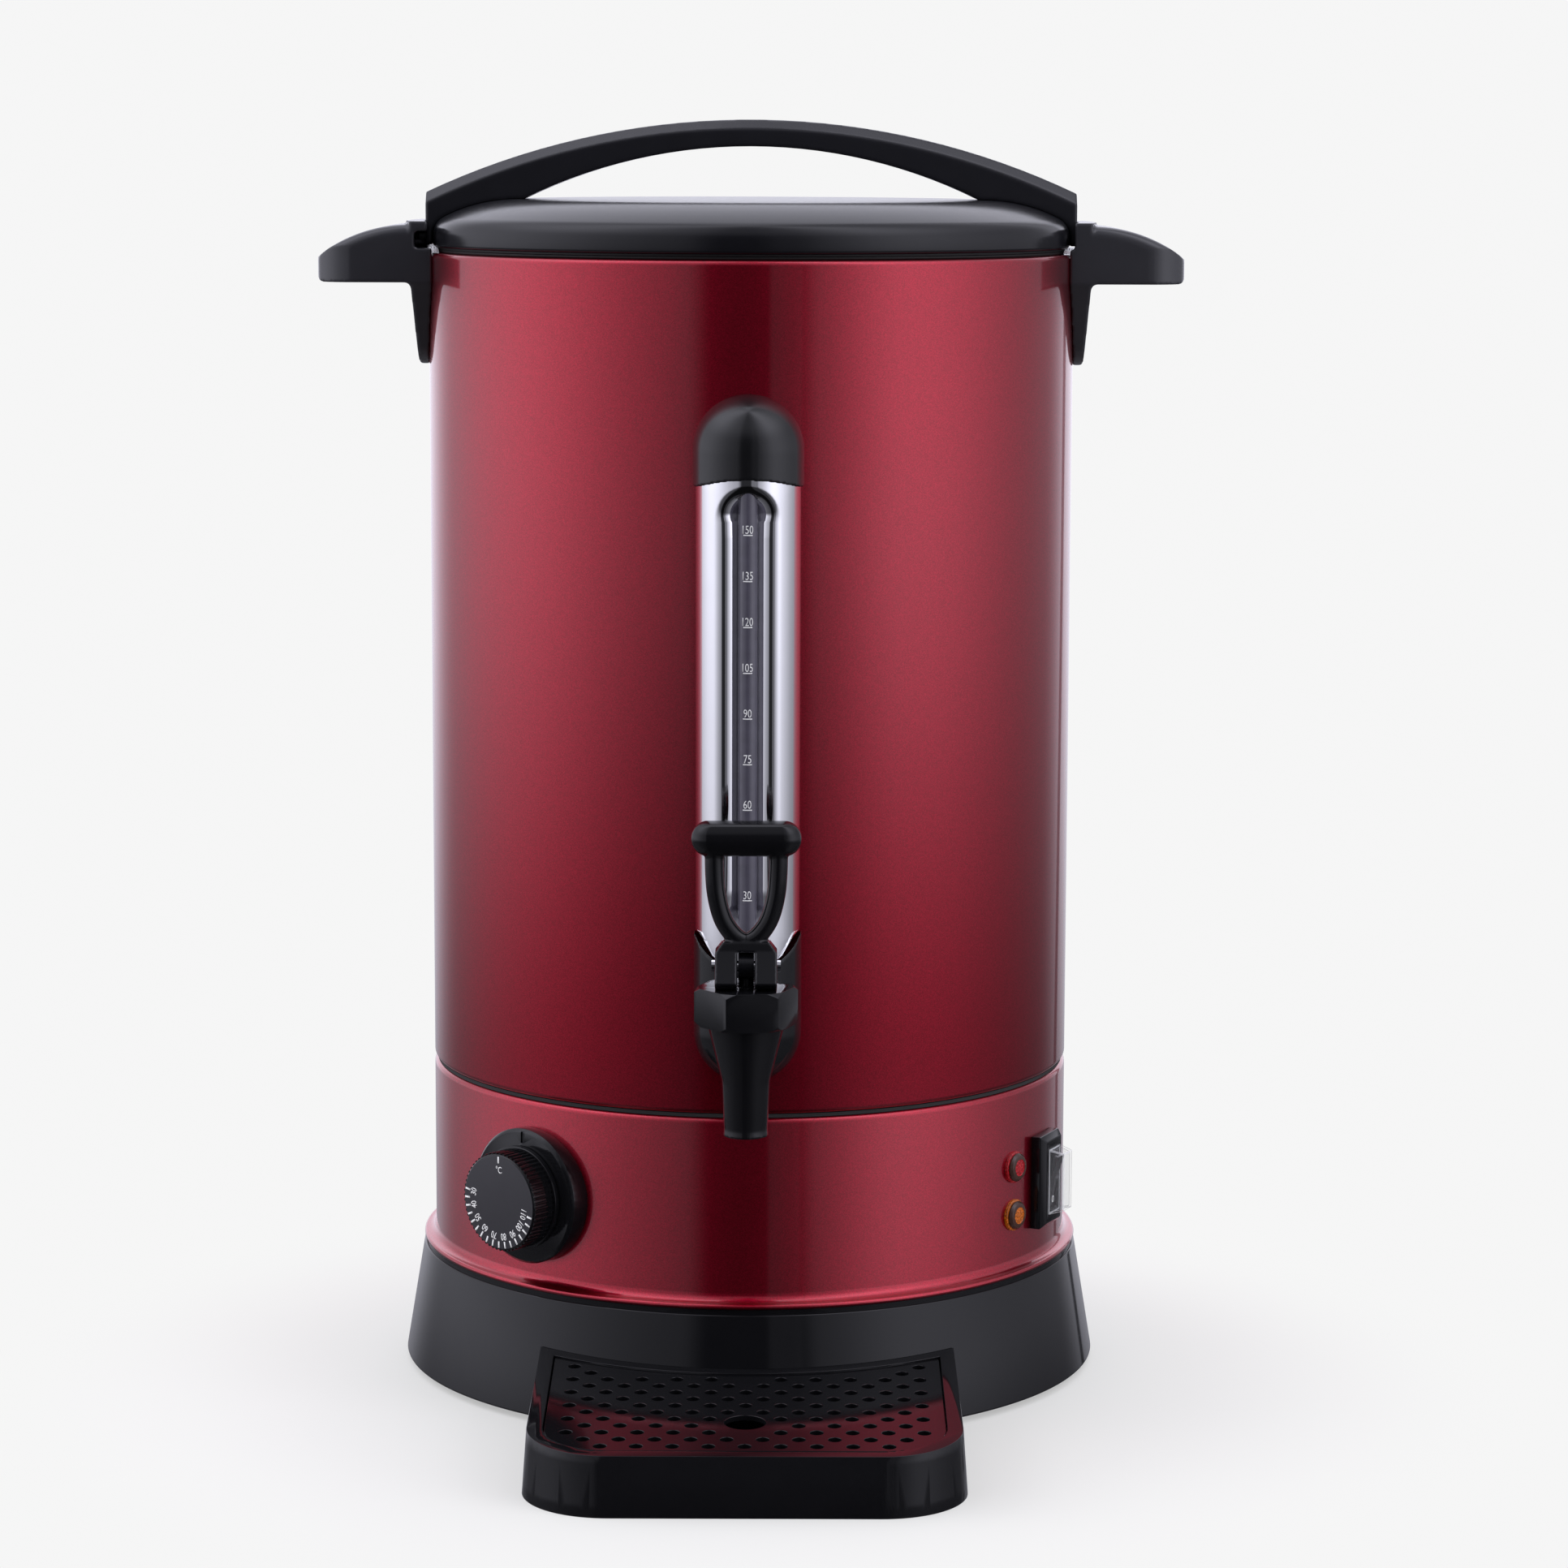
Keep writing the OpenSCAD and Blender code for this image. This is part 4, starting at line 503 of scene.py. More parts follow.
class Shape:
    """A mesh under construction, in metres, in the part's frame."""

    def __init__(self) -> None:
        self.bm = bmesh.new()

    def sheet(self, rows: Sequence[Sequence[Vector]], loop_rows: bool = False,
              loop_columns: bool = False) -> "Shape":
        """Adds quads over a grid of points.

        Args:
            rows: Rows of points, equally long.
            loop_rows: Whether the last row joins the first.
            loop_columns: Whether each row is a loop.

        Returns:
            The shape itself.
        """
        grid = [[self.bm.verts.new(point) for point in row] for row in rows]
        height = len(grid) if loop_rows else len(grid) - 1
        width = len(grid[0]) if loop_columns else len(grid[0]) - 1
        for i in range(height):
            here, there = grid[i], grid[(i + 1) % len(grid)]
            for j in range(width):
                k = (j + 1) % len(here)
                self.bm.faces.new((here[j], there[j], there[k], here[k]))
        return self

    def revolve(self, outline: Sequence[Point], place: Matrix = Matrix(), steps: int = 160,
                closed: bool = True) -> "Shape":
        """Adds an outline of radii and heights turned about a Z axis.

        Args:
            outline: Pairs of radius and height.
            place: Frame whose Z axis it turns about.
            steps: Number of facets round the axis.
            closed: Whether the outline is a loop.

        Returns:
            The shape itself.
        """
        rows = [[place @ Vector((r * math.cos(a), r * math.sin(a), z)) for r, z in outline]
                for a in full_turn(steps)]
        return self.sheet(rows, loop_rows=True, loop_columns=closed)

    def prism(self, outline: Sequence[Point], low: float, high: float,
              place: Matrix = Matrix()) -> "Shape":
        """Adds an outline drawn in a frame's XY plane, pulled up between two heights."""
        rings = [[self.bm.verts.new(place @ Vector((x, y, z))) for x, y in outline] for z in (low, high)]
        count = len(outline)
        for i in range(count):
            k = (i + 1) % count
            self.bm.faces.new((rings[0][i], rings[0][k], rings[1][k], rings[1][i]))
        self.bm.faces.new(rings[1])
        self.bm.faces.new(list(reversed(rings[0])))
        return self

    def hose(self, line: Sequence[Vector], radius: float, steps: int = 24) -> "Shape":
        """Adds a round bar along a line that lies across the Y axis, with closed ends."""
        rows = []
        fore = Vector((0, 1, 0))
        for i, spot in enumerate(line):
            along = (line[min(i + 1, len(line) - 1)] - line[max(i - 1, 0)]).normalized()
            side = along.cross(fore)
            rows.append([spot + radius * (math.cos(a) * side + math.sin(a) * fore)
                         for a in full_turn(steps)])
        ends = [[line[0]] * steps, *rows, [line[-1]] * steps]
        return self.sheet(ends, loop_columns=True)

    def mesh(self, mesh: bpy.types.Mesh, place: Matrix = Matrix()) -> "Shape":
        """Adds a mesh, moved to a place."""
        first = len(self.bm.verts)
        self.bm.from_mesh(mesh)
        self.bm.verts.ensure_lookup_table()
        bmesh.ops.transform(self.bm, matrix=place, verts=self.bm.verts[first:])
        return self

    def move(self, place: Matrix) -> "Shape":
        """Moves all of it to a place."""
        bmesh.ops.transform(self.bm, matrix=place, verts=self.bm.verts)
        return self

    def weld(self) -> "Shape":
        """Joins the points that lie on each other."""
        bmesh.ops.remove_doubles(self.bm, verts=self.bm.verts, dist=WELD)
        return self

    def cut(self, spot: Vector, normal: Vector, drop: bool = False) -> "Shape":
        """Cuts its faces along a plane, and drops what lies beyond the plane if asked to."""
        everything = self.bm.verts[:] + self.bm.edges[:] + self.bm.faces[:]
        bmesh.ops.bisect_plane(self.bm, geom=everything, plane_co=spot, plane_no=normal, clear_outer=drop)
        return self

    def coat(self, picked: Callable[[Vector], bool]) -> "Shape":
        """Gives the faces whose middles are picked the second of the piece's finishes."""
        for face in self.bm.faces:
            face.material_index = int(picked(face.calc_center_median()))
        return self

    def piece(self, name: str, crease: float = 30.0, outwards: bool = True) -> bpy.types.Object:
        """Makes the shape an object with smooth shading.

        Args:
            name: The piece's name.
            crease: Angle in degrees past which an edge stays sharp.
            outwards: Whether the faces still have to be turned outwards.

        Returns:
            The new object, at the origin.
        """
        self.weld()
        bmesh.ops.dissolve_degenerate(self.bm, dist=WELD, edges=self.bm.edges)
        if outwards:
            bmesh.ops.recalc_face_normals(self.bm, faces=self.bm.faces)
        mesh = bpy.data.meshes.new(name)
        self.bm.to_mesh(mesh)
        self.bm.free()
        mesh.shade_smooth()
        mesh.set_sharp_from_angle(angle=math.radians(crease))
        return added(name, mesh)


def plain_mesh(thing: bpy.types.Object) -> bpy.types.Mesh:
    """Returns an object's shape, with its modifiers, as a new mesh."""
    depsgraph = bpy.context.evaluated_depsgraph_get()
    return bpy.data.meshes.new_from_object(thing.evaluated_get(depsgraph), depsgraph=depsgraph)


def settle(piece: bpy.types.Object) -> bpy.types.Object:
    """Turns a piece's modifiers into its plain mesh and returns the piece."""
    mesh = plain_mesh(piece)
    piece.modifiers.clear()
    piece.data = mesh
    return piece


def thickened(piece: bpy.types.Object, thickness: float, side: float) -> bpy.types.Object:
    """Gives a sheet a thickness.

    Args:
        piece: The sheet.
        thickness: How thick it gets.
        side: 1 to grow outwards and -1 to grow inwards.

    Returns:
        The piece with a plain mesh.
    """
    sheet = piece.modifiers.new("sheet", "SOLIDIFY")
    sheet.thickness = thickness
    sheet.offset = side
    return settle(piece)


def eased(piece: bpy.types.Object, width: float, steps: int = 2, angle: float = 32.0,
          finish: int = -1) -> bpy.types.Object:
    """Rounds a piece's sharp edges.

    Args:
        piece: The piece, which has no modifiers yet.
        width: Width of the rounding.
        steps: Facets in the rounding.
        angle: Angle in degrees past which an edge counts as sharp.
        finish: Place of the roundings' finish among the piece's own, if they have one.

    Returns:
        The piece.
    """
    piece.data.shade_smooth()
    piece.data.set_sharp_from_angle(angle=math.pi)
    bevel = piece.modifiers.new("eased_edges", "BEVEL")
    bevel.width = width
    bevel.segments = steps
    bevel.limit_method = "ANGLE"
    bevel.angle_limit = math.radians(angle)
    bevel.material = finish
    bevel.harden_normals = True
    bevel.miter_outer = "MITER_ARC"
    return piece


def copy_of(node: str, flat: float = 0.3) -> bpy.types.Object:
    """Welded copy of a node's solid, with its flat faces made whole.

    Args:
        node: Name of the node.
        flat: Angle in degrees up to which neighbouring faces are one.

    Returns:
        A new piece with the node's shape.
    """
    shape = Shape().mesh(frame["nodes"][node].data).weld()
    bmesh.ops.dissolve_limit(shape.bm, angle_limit=math.radians(flat), verts=shape.bm.verts,
                             edges=shape.bm.edges)
    return shape.piece(f"{node}_form", outwards=False)


def blended(piece: bpy.types.Object, voxel: float, rounds: int) -> bpy.types.Object:
    """Melts a piece's shells into one skin of small faces, smooths it and returns the piece."""
    blend = piece.modifiers.new("blend", "REMESH")
    blend.mode = "VOXEL"
    blend.voxel_size = voxel
    soft = piece.modifiers.new("soft", "SMOOTH")
    soft.factor = 0.5
    soft.iterations = rounds
    settle(piece).data.shade_smooth()
    return piece


def spans(node: str, place: Matrix) -> tuple[Vector, Vector]:
    """Lowest and highest corner of a node's solid in a frame of its own."""
    inverse = place.inverted()
    points = [inverse @ vertex.co for vertex in frame["nodes"][node].data.vertices]
    low, high = (Vector([pick(p[i] for p in points) for i in range(3)]) for pick in (min, max))
    return low, high


def carve(piece: bpy.types.Object, tool: bpy.types.Object) -> bpy.types.Object:
    """Cuts a tool's shape out of a piece, drops the tool and returns the piece."""
    cut = piece.modifiers.new("cut", "BOOLEAN")
    cut.operation = "DIFFERENCE"
    cut.solver = "EXACT"
    cut.object = tool
    settle(piece)
    bpy.data.objects.remove(tool)
    return piece


def dress(piece: bpy.types.Object, body: str, slot: Slot, *finishes: Finish) -> bpy.types.Object:
    """Gives a piece its body and its finish, which is its slot's own unless others are given, and logs its
    slot.

    Args:
        piece: The piece.
        body: Body that it rides on.
        slot: Slot of the record that it belongs to.
        finishes: Its finishes, if they aren't the slot's own.

    Returns:
        The piece.
    """
    indices = [polygon.material_index for polygon in piece.data.polygons]
    piece.data.materials.clear()
    for finish in finishes or (FINISHES[slot],):
        piece.data.materials.append(PALETTE.of(finish))
    piece.data.polygons.foreach_set("material_index", indices)
    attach(piece, body)
    LOG.info("%s rides on %s as %s", piece.name, body, slot.value)
    return piece


def stand_in(piece: bpy.types.Object, *nodes: str, finishes: Sequence[Finish] = ()) -> bpy.types.Object:
    """Puts a piece in the place of nodes, with the first one's body and slot."""
    dress(piece, BODY_OF[nodes[0]], SLOT_OF[nodes[0]], *finishes)
    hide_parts(*nodes)
    return piece


def ease(node: str, width: float, steps: int = 2, angle: float = 32.0) -> None:
    """Puts a copy with rounded edges in a node's place; the arguments are those of eased()."""
    stand_in(eased(copy_of(node), width, steps, angle), node)


def soften(node: str, voxel: float, rounds: int, *finishes: Finish) -> None:
    """Puts a copy with blended edges in a node's place.

    Args:
        node: Name of the node.
        voxel: Size of the blended mesh's faces.
        rounds: How often the mesh is smoothed.
        finishes: The copy's finishes, if they aren't the slot's own.
    """
    stand_in(blended(copy_of(node), voxel, rounds), node, finishes=finishes)


class Repeater:
    """A geometry tree with named inputs that is run once on a mesh."""

    def __init__(self, name: str) -> None:
        self.tree = bpy.data.node_groups.new(name, "GeometryNodeTree")
        self.graph = Graph(self.tree)
        self.ids: dict[str, str] = {}
        self.tree.interface.new_socket("Geometry", in_out="OUTPUT", socket_type="NodeSocketGeometry")
        self.tree.interface.new_socket("Geometry", in_out="INPUT", socket_type="NodeSocketGeometry")
        self.entry = self.graph.node("NodeGroupInput")

    @property
    def geometry(self) -> bpy.types.NodeSocket:
        """The mesh that the tree is run on."""
        return self.entry.outputs["Geometry"]

    def input(self, name: str, kind: str) -> Value:
        """Adds a named input of a socket type and returns it."""
        socket = self.tree.interface.new_socket(name, in_out="INPUT", socket_type=kind)
        self.ids[name] = socket.identifier
        return Value(self.graph, self.entry.outputs[name])

    def close(self, geometry: bpy.types.NodeSocket) -> None:
        """Ends the tree in plain geometry with a material."""
        material = self.input("Material", "NodeSocketMaterial")
        plain = self.graph.node("GeometryNodeRealizeInstances", {0: geometry})
        coated = self.graph.node("GeometryNodeSetMaterial",
                                 {"Geometry": plain.outputs[0], "Material": material})
        self.graph.node("NodeGroupOutput", {0: coated.outputs[0]})

    def run(self, piece: bpy.types.Object, **values: Any) -> bpy.types.Object:
        """Runs the tree on a piece.

        Args:
            piece: Piece whose mesh goes in.
            values: The tree's inputs, with spaces in their names as underscores.

        Returns:
            The piece with the result as its plain mesh.
        """
        modifier = piece.modifiers.new("repeat", "NODES")
        modifier.node_group = self.tree
        for name, value in values.items():
            modifier[self.ids[name.replace("_", " ")]] = value
        return settle(piece)


def copies_tree() -> Repeater:
    """Tree that repeats a mesh round the Z axis and along a step."""
    repeater = Repeater("ring_of_copies")
    graph = repeater.graph
    count = repeater.input("Count", "NodeSocketInt")
    first = repeater.input("First", "NodeSocketFloat")
    turn = repeater.input("Turn", "NodeSocketFloat")
    rise = repeater.input("Rise", "NodeSocketFloat")
    index = graph.number("GeometryNodeInputIndex", "Index")
    spot = graph.node("ShaderNodeCombineXYZ", {"Z": index * rise})
    angle = graph.node("ShaderNodeCombineXYZ", {"Z": first + index * turn})
    points = graph.node("GeometryNodePoints", {"Count": count, "Position": spot.outputs[0]})
    copies = graph.node("GeometryNodeInstanceOnPoints", {
        "Points": points.outputs[0], "Instance": repeater.geometry, "Rotation": angle.outputs[0]})
    repeater.close(copies.outputs[0])
    return repeater


def sieve_tree() -> Repeater:
    """Tree that fills an outline, pierced at its loose points, and gives it a thickness."""
    repeater = Repeater("sieve_plate")
    graph = repeater.graph
    thickness = repeater.input("Thickness", "NodeSocketFloat")
    facets = repeater.input("Facets", "NodeSocketInt")
    bore = graph.number("GeometryNodeInputNamedAttribute", "Attribute", {"Name": "bore"}, data_type="FLOAT")
    edge = graph.node("GeometryNodeMeshToCurve", {0: repeater.geometry})
    spots = graph.node("GeometryNodeMeshToPoints", {0: repeater.geometry, "Selection": bore > 0.0})
    ring = graph.node("GeometryNodeCurvePrimitiveCircle", {"Resolution": facets, "Radius": 1.0})
    width = graph.node("ShaderNodeCombineXYZ", {"X": bore, "Y": bore, "Z": 1.0})
    holes = graph.node("GeometryNodeInstanceOnPoints", {
        "Points": spots.outputs[0], "Instance": ring.outputs[0], "Scale": width.outputs[0]})
    holes_plain = graph.node("GeometryNodeRealizeInstances", {0: holes.outputs[0]})
    curves = graph.node("GeometryNodeJoinGeometry", {0: edge.outputs[0]})
    graph.feed(curves.inputs[0], holes_plain.outputs[0])
    face = graph.node("GeometryNodeFillCurve", {0: curves.outputs[0]})
    top = graph.node("GeometryNodeExtrudeMesh", {
        "Mesh": face.outputs[0], "Offset Scale": thickness, "Individual": False}, mode="FACES")
    under = graph.node("GeometryNodeFlipFaces", {0: face.outputs[0]})
    both = graph.node("GeometryNodeJoinGeometry", {0: top.outputs[0]})
    graph.feed(both.inputs[0], under.outputs[0])
    whole = graph.node("GeometryNodeMergeByDistance", {0: both.outputs[0], "Distance": WELD})
    repeater.close(whole.outputs[0])
    return repeater


COPIES = copies_tree()
SIEVE = sieve_tree()


def ring_of(item: bpy.types.Object, count: int, first: float, turn: float, finish: Finish,
            rise: float = 0.0) -> bpy.types.Object:
    """Repeats a piece round the Z axis, with angles in degrees, or up it by a rise."""
    return COPIES.run(item, Count=count, First=math.radians(first), Turn=math.radians(turn), Rise=rise,
                      Material=PALETTE.of(finish))


def moved(piece: bpy.types.Object, place: Matrix) -> bpy.types.Object:
    """Moves a piece's mesh to a place and returns the piece."""
    piece.data.transform(place)
    return piece


def lettering(text: str, height: float, squeeze: float = 0.8, weight: float = 0.0) -> bpy.types.Mesh:
    """Flat mesh of some figures, centred on the origin.

    Args:
        text: The figures.
        height: Height of the figures.
        squeeze: Width as a share of the font's own.
        weight: Thickening of the strokes, as a share of the font's size.

    Returns:
        The mesh, in the XY plane.
    """
    curve = bpy.data.curves.new("figures", "FONT")
    curve.body = text
    curve.resolution_u = 4
    curve.offset = weight
    writer = added("figures", curve)
    mesh = plain_mesh(writer)
    bpy.data.objects.remove(writer)
    xs = [v.co.x for v in mesh.vertices]
    ys = [v.co.y for v in mesh.vertices]
    scale = height / (max(ys) - min(ys))
    middle = Vector(((min(xs) + max(xs)) / 2, (min(ys) + max(ys)) / 2, 0))
    mesh.transform(Matrix.Diagonal((scale * squeeze, scale, 1, 1)) @ Matrix.Translation(-middle))
    return mesh


def printed(piece: bpy.types.Object, body: str) -> bpy.types.Object:
    """Makes a flat piece a thin layer of white print on a body."""
    return dress(thickened(piece, INK, 1.0), body, Slot.TERMINAL_WHITE)


SHELL_LOW, SHELL_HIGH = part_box("outer_shell")
BODY_R = SHELL_HIGH.x
AXIS = Vector((0, SHELL_LOW.y + BODY_R, 0))
PLACE = Matrix.Translation(AXIS)


def on_wall(azimuth: float, height: float, out: float = 0.0) -> Matrix:
    """Frame on the body's wall.

    Args:
        azimuth: Angle in degrees from the front, towards +X.
        height: Height over the floor.
        out: Distance from the body's axis.

    Returns:
        A frame with +Z outwards and +Y up.
    """
    turn = Matrix.Rotation(math.radians(azimuth), 4, "Z")
    face = Matrix.Rotation(math.pi / 2, 4, "X")
    return PLACE @ turn @ Matrix.Translation((0, 0, height)) @ face @ Matrix.Translation((0, 0, out))


@dataclass
class Casing:
    """Red shell and housing, their seam, the black base and the steel vessel."""

    sheet: float = 1.0 * MM
    bend: float = 2.5 * MM
    flange: float = 9.0 * MM
    hem: float = 1.3 * MM
    hem_step: float = 2.2 * MM
    spigot: float = 10.0 * MM
    mould: float = 3.0 * MM
    vessel_sheet: float = 0.8 * MM
    vessel_gap: float = 8.0 * MM
    rim: float = 1.6 * MM
    edge: float = 0.8 * MM
    fit: float = 0.2 * MM
    hem_ease: float = 0.98
    cove_ease: float = 0.02 * MM
    rim_round: float = 0.7 * MM
    lip_round: float = 1.2 * MM
    foot_round: float = 1.2 * MM
    slot_w: float = 61.0 * MM
    slot_low: float = 9.5 * MM
    slot_high: float = 13.5 * MM
    slot_deep: float = 20.0 * MM
    slot_over: float = 1.0 * MM
    boss_r: float = 6.0 * MM
    boss_bore: float = 1.5 * MM
    boss_short: float = 1.0 * MM
    boss_margin: float = 2.0 * MM
    boss_ring: float = 140.0 * MM
    boss_angles: tuple[float, ...] = (60, 120, 240, 300)

    def build(self) -> None:
        """Makes and dresses the pieces."""
        self.outer_shell()
        self.lower_housing()
        self.vessel()
        self.skirt()
        ease("rubber_feet", self.foot_round, steps=3)

    def outer_shell(self) -> None:
        """Rolled sheet with both edges turned in."""
        low, high = SHELL_LOW.z, SHELL_HIGH.z
        inside = BODY_R - self.sheet
        neck = BODY_R - self.vessel_gap + self.fit
        inner_bend = self.bend - self.sheet
        outline = rounded([
            Corner(BODY_R - self.flange, low),
            Corner(BODY_R, low, self.bend),
            Corner(BODY_R, high, self.bend),
            Corner(neck, high),
            Corner(neck, high - self.sheet),
            Corner(inside, high - self.sheet, inner_bend),
            Corner(inside, low + self.sheet, inner_bend),
            Corner(BODY_R - self.flange, low + self.sheet),
        ])
        stand_in(Shape().revolve(outline, PLACE, ROUND_FACETS).piece("outer_shell_form"), "outer_shell")

    def skirt(self) -> None:
        """Flared moulded base with a ledge, a spigot, screw bosses and the slot for the tray's tongue."""
        low_corner, high_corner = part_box("base_skirt")
        low, wide = low_corner.z, high_corner.x
        deck = high_corner.z - self.spigot
        top = deck - self.hem_step
        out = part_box("lower_housing")[1].x
        ledge = out - self.hem
        neck = BODY_R - self.sheet - self.fit
        inner = self.boss_ring - self.boss_r - self.boss_margin
        outline = rounded([
            Corner(wide, low, self.edge),
            Corner(out, top, self.edge),
            Corner(ledge, top),
            Corner(ledge, deck),
            Corner(neck, deck),
            Corner(neck, deck + self.spigot),
            Corner(neck - self.mould, deck + self.spigot),
            Corner(neck - self.mould, top),
            Corner(inner, top),
            Corner(inner, top - self.mould),
            Corner(out - self.mould, top - self.mould),
            Corner(wide - self.mould, low),
        ])
        piece = Shape().revolve(outline, PLACE, ROUND_FACETS).piece("base_skirt_form")
        half, low_side, high_side = self.slot_w / 2, self.slot_low, self.slot_high
        gate = [(-half, low_side), (half, low_side), (half, high_side), (-half, high_side)]
        tool = Shape().prism(gate, wide - self.slot_deep, wide + self.slot_over, on_wall(0, 0))
        shape = Shape().mesh(carve(piece, tool.piece("slot_tool")).data)
        bpy.data.objects.remove(piece)
        base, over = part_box("base_plate")[1].z, top - self.boss_short
        boss = [(self.boss_bore, base), (self.boss_r, base), (self.boss_r, over), (self.boss_bore, over)]
        for angle in self.boss_angles:
            turn = math.radians(angle)
            spot = AXIS + self.boss_ring * Vector((math.cos(turn), math.sin(turn), 0))
            shape.revolve(boss, Matrix.Translation(spot), steps=32)
        stand_in(shape.piece("base_skirt_moulding", outwards=False), "base_skirt")

    def lower_housing(self) -> None:
        """Rolled sheet with its upper edge turned in and its lower edge rolled out to a hem."""
        low_corner, high_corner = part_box("lower_housing")
        low, high = low_corner.z, high_corner.z
        hem_top = low + 2 * self.hem
        cove = high_corner.x - BODY_R - self.hem - self.cove_ease
        roll = self.hem * self.hem_ease
        inside = BODY_R - self.sheet
        outline = rounded([
            Corner(BODY_R - self.flange, high),
            Corner(BODY_R, high, self.bend),
            Corner(BODY_R, hem_top, cove),
            Corner(high_corner.x, hem_top, roll),
            Corner(high_corner.x, low, roll),
            Corner(inside, low),
            Corner(inside, high - self.sheet, self.bend - self.sheet),
            Corner(BODY_R - self.flange, high - self.sheet),
        ])
        stand_in(Shape().revolve(outline, PLACE, ROUND_FACETS).piece("lower_housing_form"), "lower_housing")

    def vessel(self) -> None:
        """Rolled vessel whose folded rim lies on the shell's top edge; the rim's outer face is painted
        black, as painted shade for the gap under the lid.
        """
        low_corner, high_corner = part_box("inner_vessel")
        low, high, out = low_corner.z, high_corner.z, high_corner.x
        side = BODY_R - self.vessel_gap
        wall = side - self.vessel_sheet
        outline = rounded([
            Corner(side, low),
            Corner(side, high - self.rim),
            Corner(out, high - self.rim, self.rim_round),
            Corner(out, high, self.rim_round),
            Corner(wall, high, self.lip_round),
            Corner(wall, low),
        ])
        rim_low = high - self.rim - HAIR
        shape = Shape().revolve(outline, PLACE, steps=192)
        # Painted shade: the rim's outer face gets the black of the gap under the lid
        shape.coat(lambda spot: (spot - AXIS).xy.length > side and spot.z > rim_low)
        finishes = (FINISHES[Slot.VESSEL_STEEL], RIM_PAINTED_SHADE)
        stand_in(shape.piece("inner_vessel_form"), "inner_vessel", finishes=finishes)


@dataclass
class LevelGauge:
    """Bright half-round shield with a drawn trough, a glass tube with figures, a cap and a holder."""

    window_half: float = 10.5 * MM
    window_low: float = 234.0 * MM
    window_high: float = 423.0 * MM
    roll: float = 7.0 * MM
    roll_angle: float = 40.0
    dip_angle: float = 38.0
    end_pull: float = 0.8
    edge_draw: float = 1.3
    sheet: float = 0.7 * MM
    tube_round: float = 2.0 * MM
    cap_voxel: float = 0.55 * MM
    holder_voxel: float = 0.6 * MM
    first_mark: float = 406.9 * MM
    mark_step: float = 20.0 * MM
    mark_values: tuple[int, ...] = (150, 135, 120, 105, 90, 75, 60, 45, 30)
    figure_h: float = 3.6 * MM
    figure_squeeze: float = 0.72
    figure_lift: float = 2.7 * MM
    figure_out: float = 0.03 * MM
    slice_w: float = 0.42 * MM
    slices: int = 7
    tick_w: float = 4.1 * MM
    tick_h: float = 0.5 * MM

    def __post_init__(self) -> None:
        """Reads the gauge's places from the frame."""
        low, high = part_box("gauge_shield")
        self.radius = high.x
        self.centre_y = low.y + self.radius
        self.low, self.high = low.z, high.z
        tube_low, tube_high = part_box("gauge_glass")
        self.tube_r = (tube_high.x - tube_low.x) / 2
        self.tube_y = (tube_low.y + tube_high.y) / 2
        self.tube_z = (tube_low.z, tube_high.z)
        self.side = 90 + math.degrees(math.asin(self.radius / (2 * BODY_R)))

    def build(self) -> None:
        """Makes and dresses the pieces."""
        self.shield()
        self.tube()
        self.figures()
        soften("gauge_cap", self.cap_voxel, 3, CAP_BLACK)
        soften("gauge_holder", self.holder_voxel, 4)

    def on_shield(self, arc_length: float, height: float) -> Vector:
        """Point on the shield's outside at a distance round it from its middle."""
        turn = arc_length / self.radius
        return Vector((self.radius * math.sin(turn), self.centre_y - self.radius * math.cos(turn), height))

    def horn_line(self, x: float) -> float:
        """Height of the shield's curved lower end at a distance from its middle."""
        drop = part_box("gauge_holder")[1].z - self.low
        reach = self.radius
        curve = (reach * reach + drop * drop) / (2 * drop)
        return self.low + curve - math.sqrt(max(curve * curve - x * x, 0.0))

    def shield(self) -> None:
        """Shield and trough as one drawn sheet, laid out in loops round the window."""
        caps, sides, inner, outer = 24, 24, 40, 16
        half = self.window_half
        low, high = self.window_low + half, self.window_high - half
        loop: list[tuple[float, float]] = []
        for near, away, turn in ((high, low, 0.0), (low, high, math.pi)):
            loop += [(near, turn + math.pi * i / caps) for i in range(caps + 1)]
            loop += [(near + (away - near) * i / sides, turn + math.pi) for i in range(1, sides)]
        brim = math.radians(self.roll_angle) * self.radius
        rows: list[list[Vector]] = []
        for i in range(1, inner + 1):
            reach = brim * i / inner
            rows.append([self.sheet_point(z, a, reach) for z, a in loop])
        for i in range(1, outer + 1):
            share = (i / outer) ** self.edge_draw
            rows.append([self.sheet_point(z, a, brim + (self.far(z, a) - brim) * share) for z, a in loop])
        piece = Shape().sheet(rows, loop_columns=True).piece("gauge_shield_form", crease=70.0)
        stand_in(thickened(piece, self.sheet, -1.0), "gauge_shield", "gauge_trough")

    def far(self, z: float, angle: float) -> float:
        """Way from a point on the window's middle line to the shield's edge, in a direction."""
        across, up = math.cos(angle), math.sin(angle)
        limits = [math.radians(self.side) * self.radius / abs(across)] if abs(across) > TINY else []
        if up > TINY:
            limits.append((self.high - z) / up)
        if up < -TINY:
            limits.append((z - self.low) / -up)
        return min(limits)

    def drop(self, reach: float) -> float:
        """Depth of the drawn trough under the shield's round, at a way from the window's middle line."""
        turn = reach / self.radius
        x = self.radius * math.sin(min(turn, math.pi / 2))
        brim = math.radians(self.roll_angle)
        if turn >= brim:
            return 0.0
        lean = self.radius - self.roll
        crest, base = lean * math.sin(brim), lean * math.cos(brim)
        dip = math.radians(self.dip_angle)
        inmost = crest - self.roll * math.sin(dip)
        if x >= inmost:
            front = base + math.sqrt(self.roll ** 2 - (x - crest) ** 2)
        else:
            front = base + self.roll * math.cos(dip) - math.tan(dip) * (inmost ** 2 - x ** 2) / (2 * inmost)
        return math.sqrt(self.radius ** 2 - x ** 2) - front

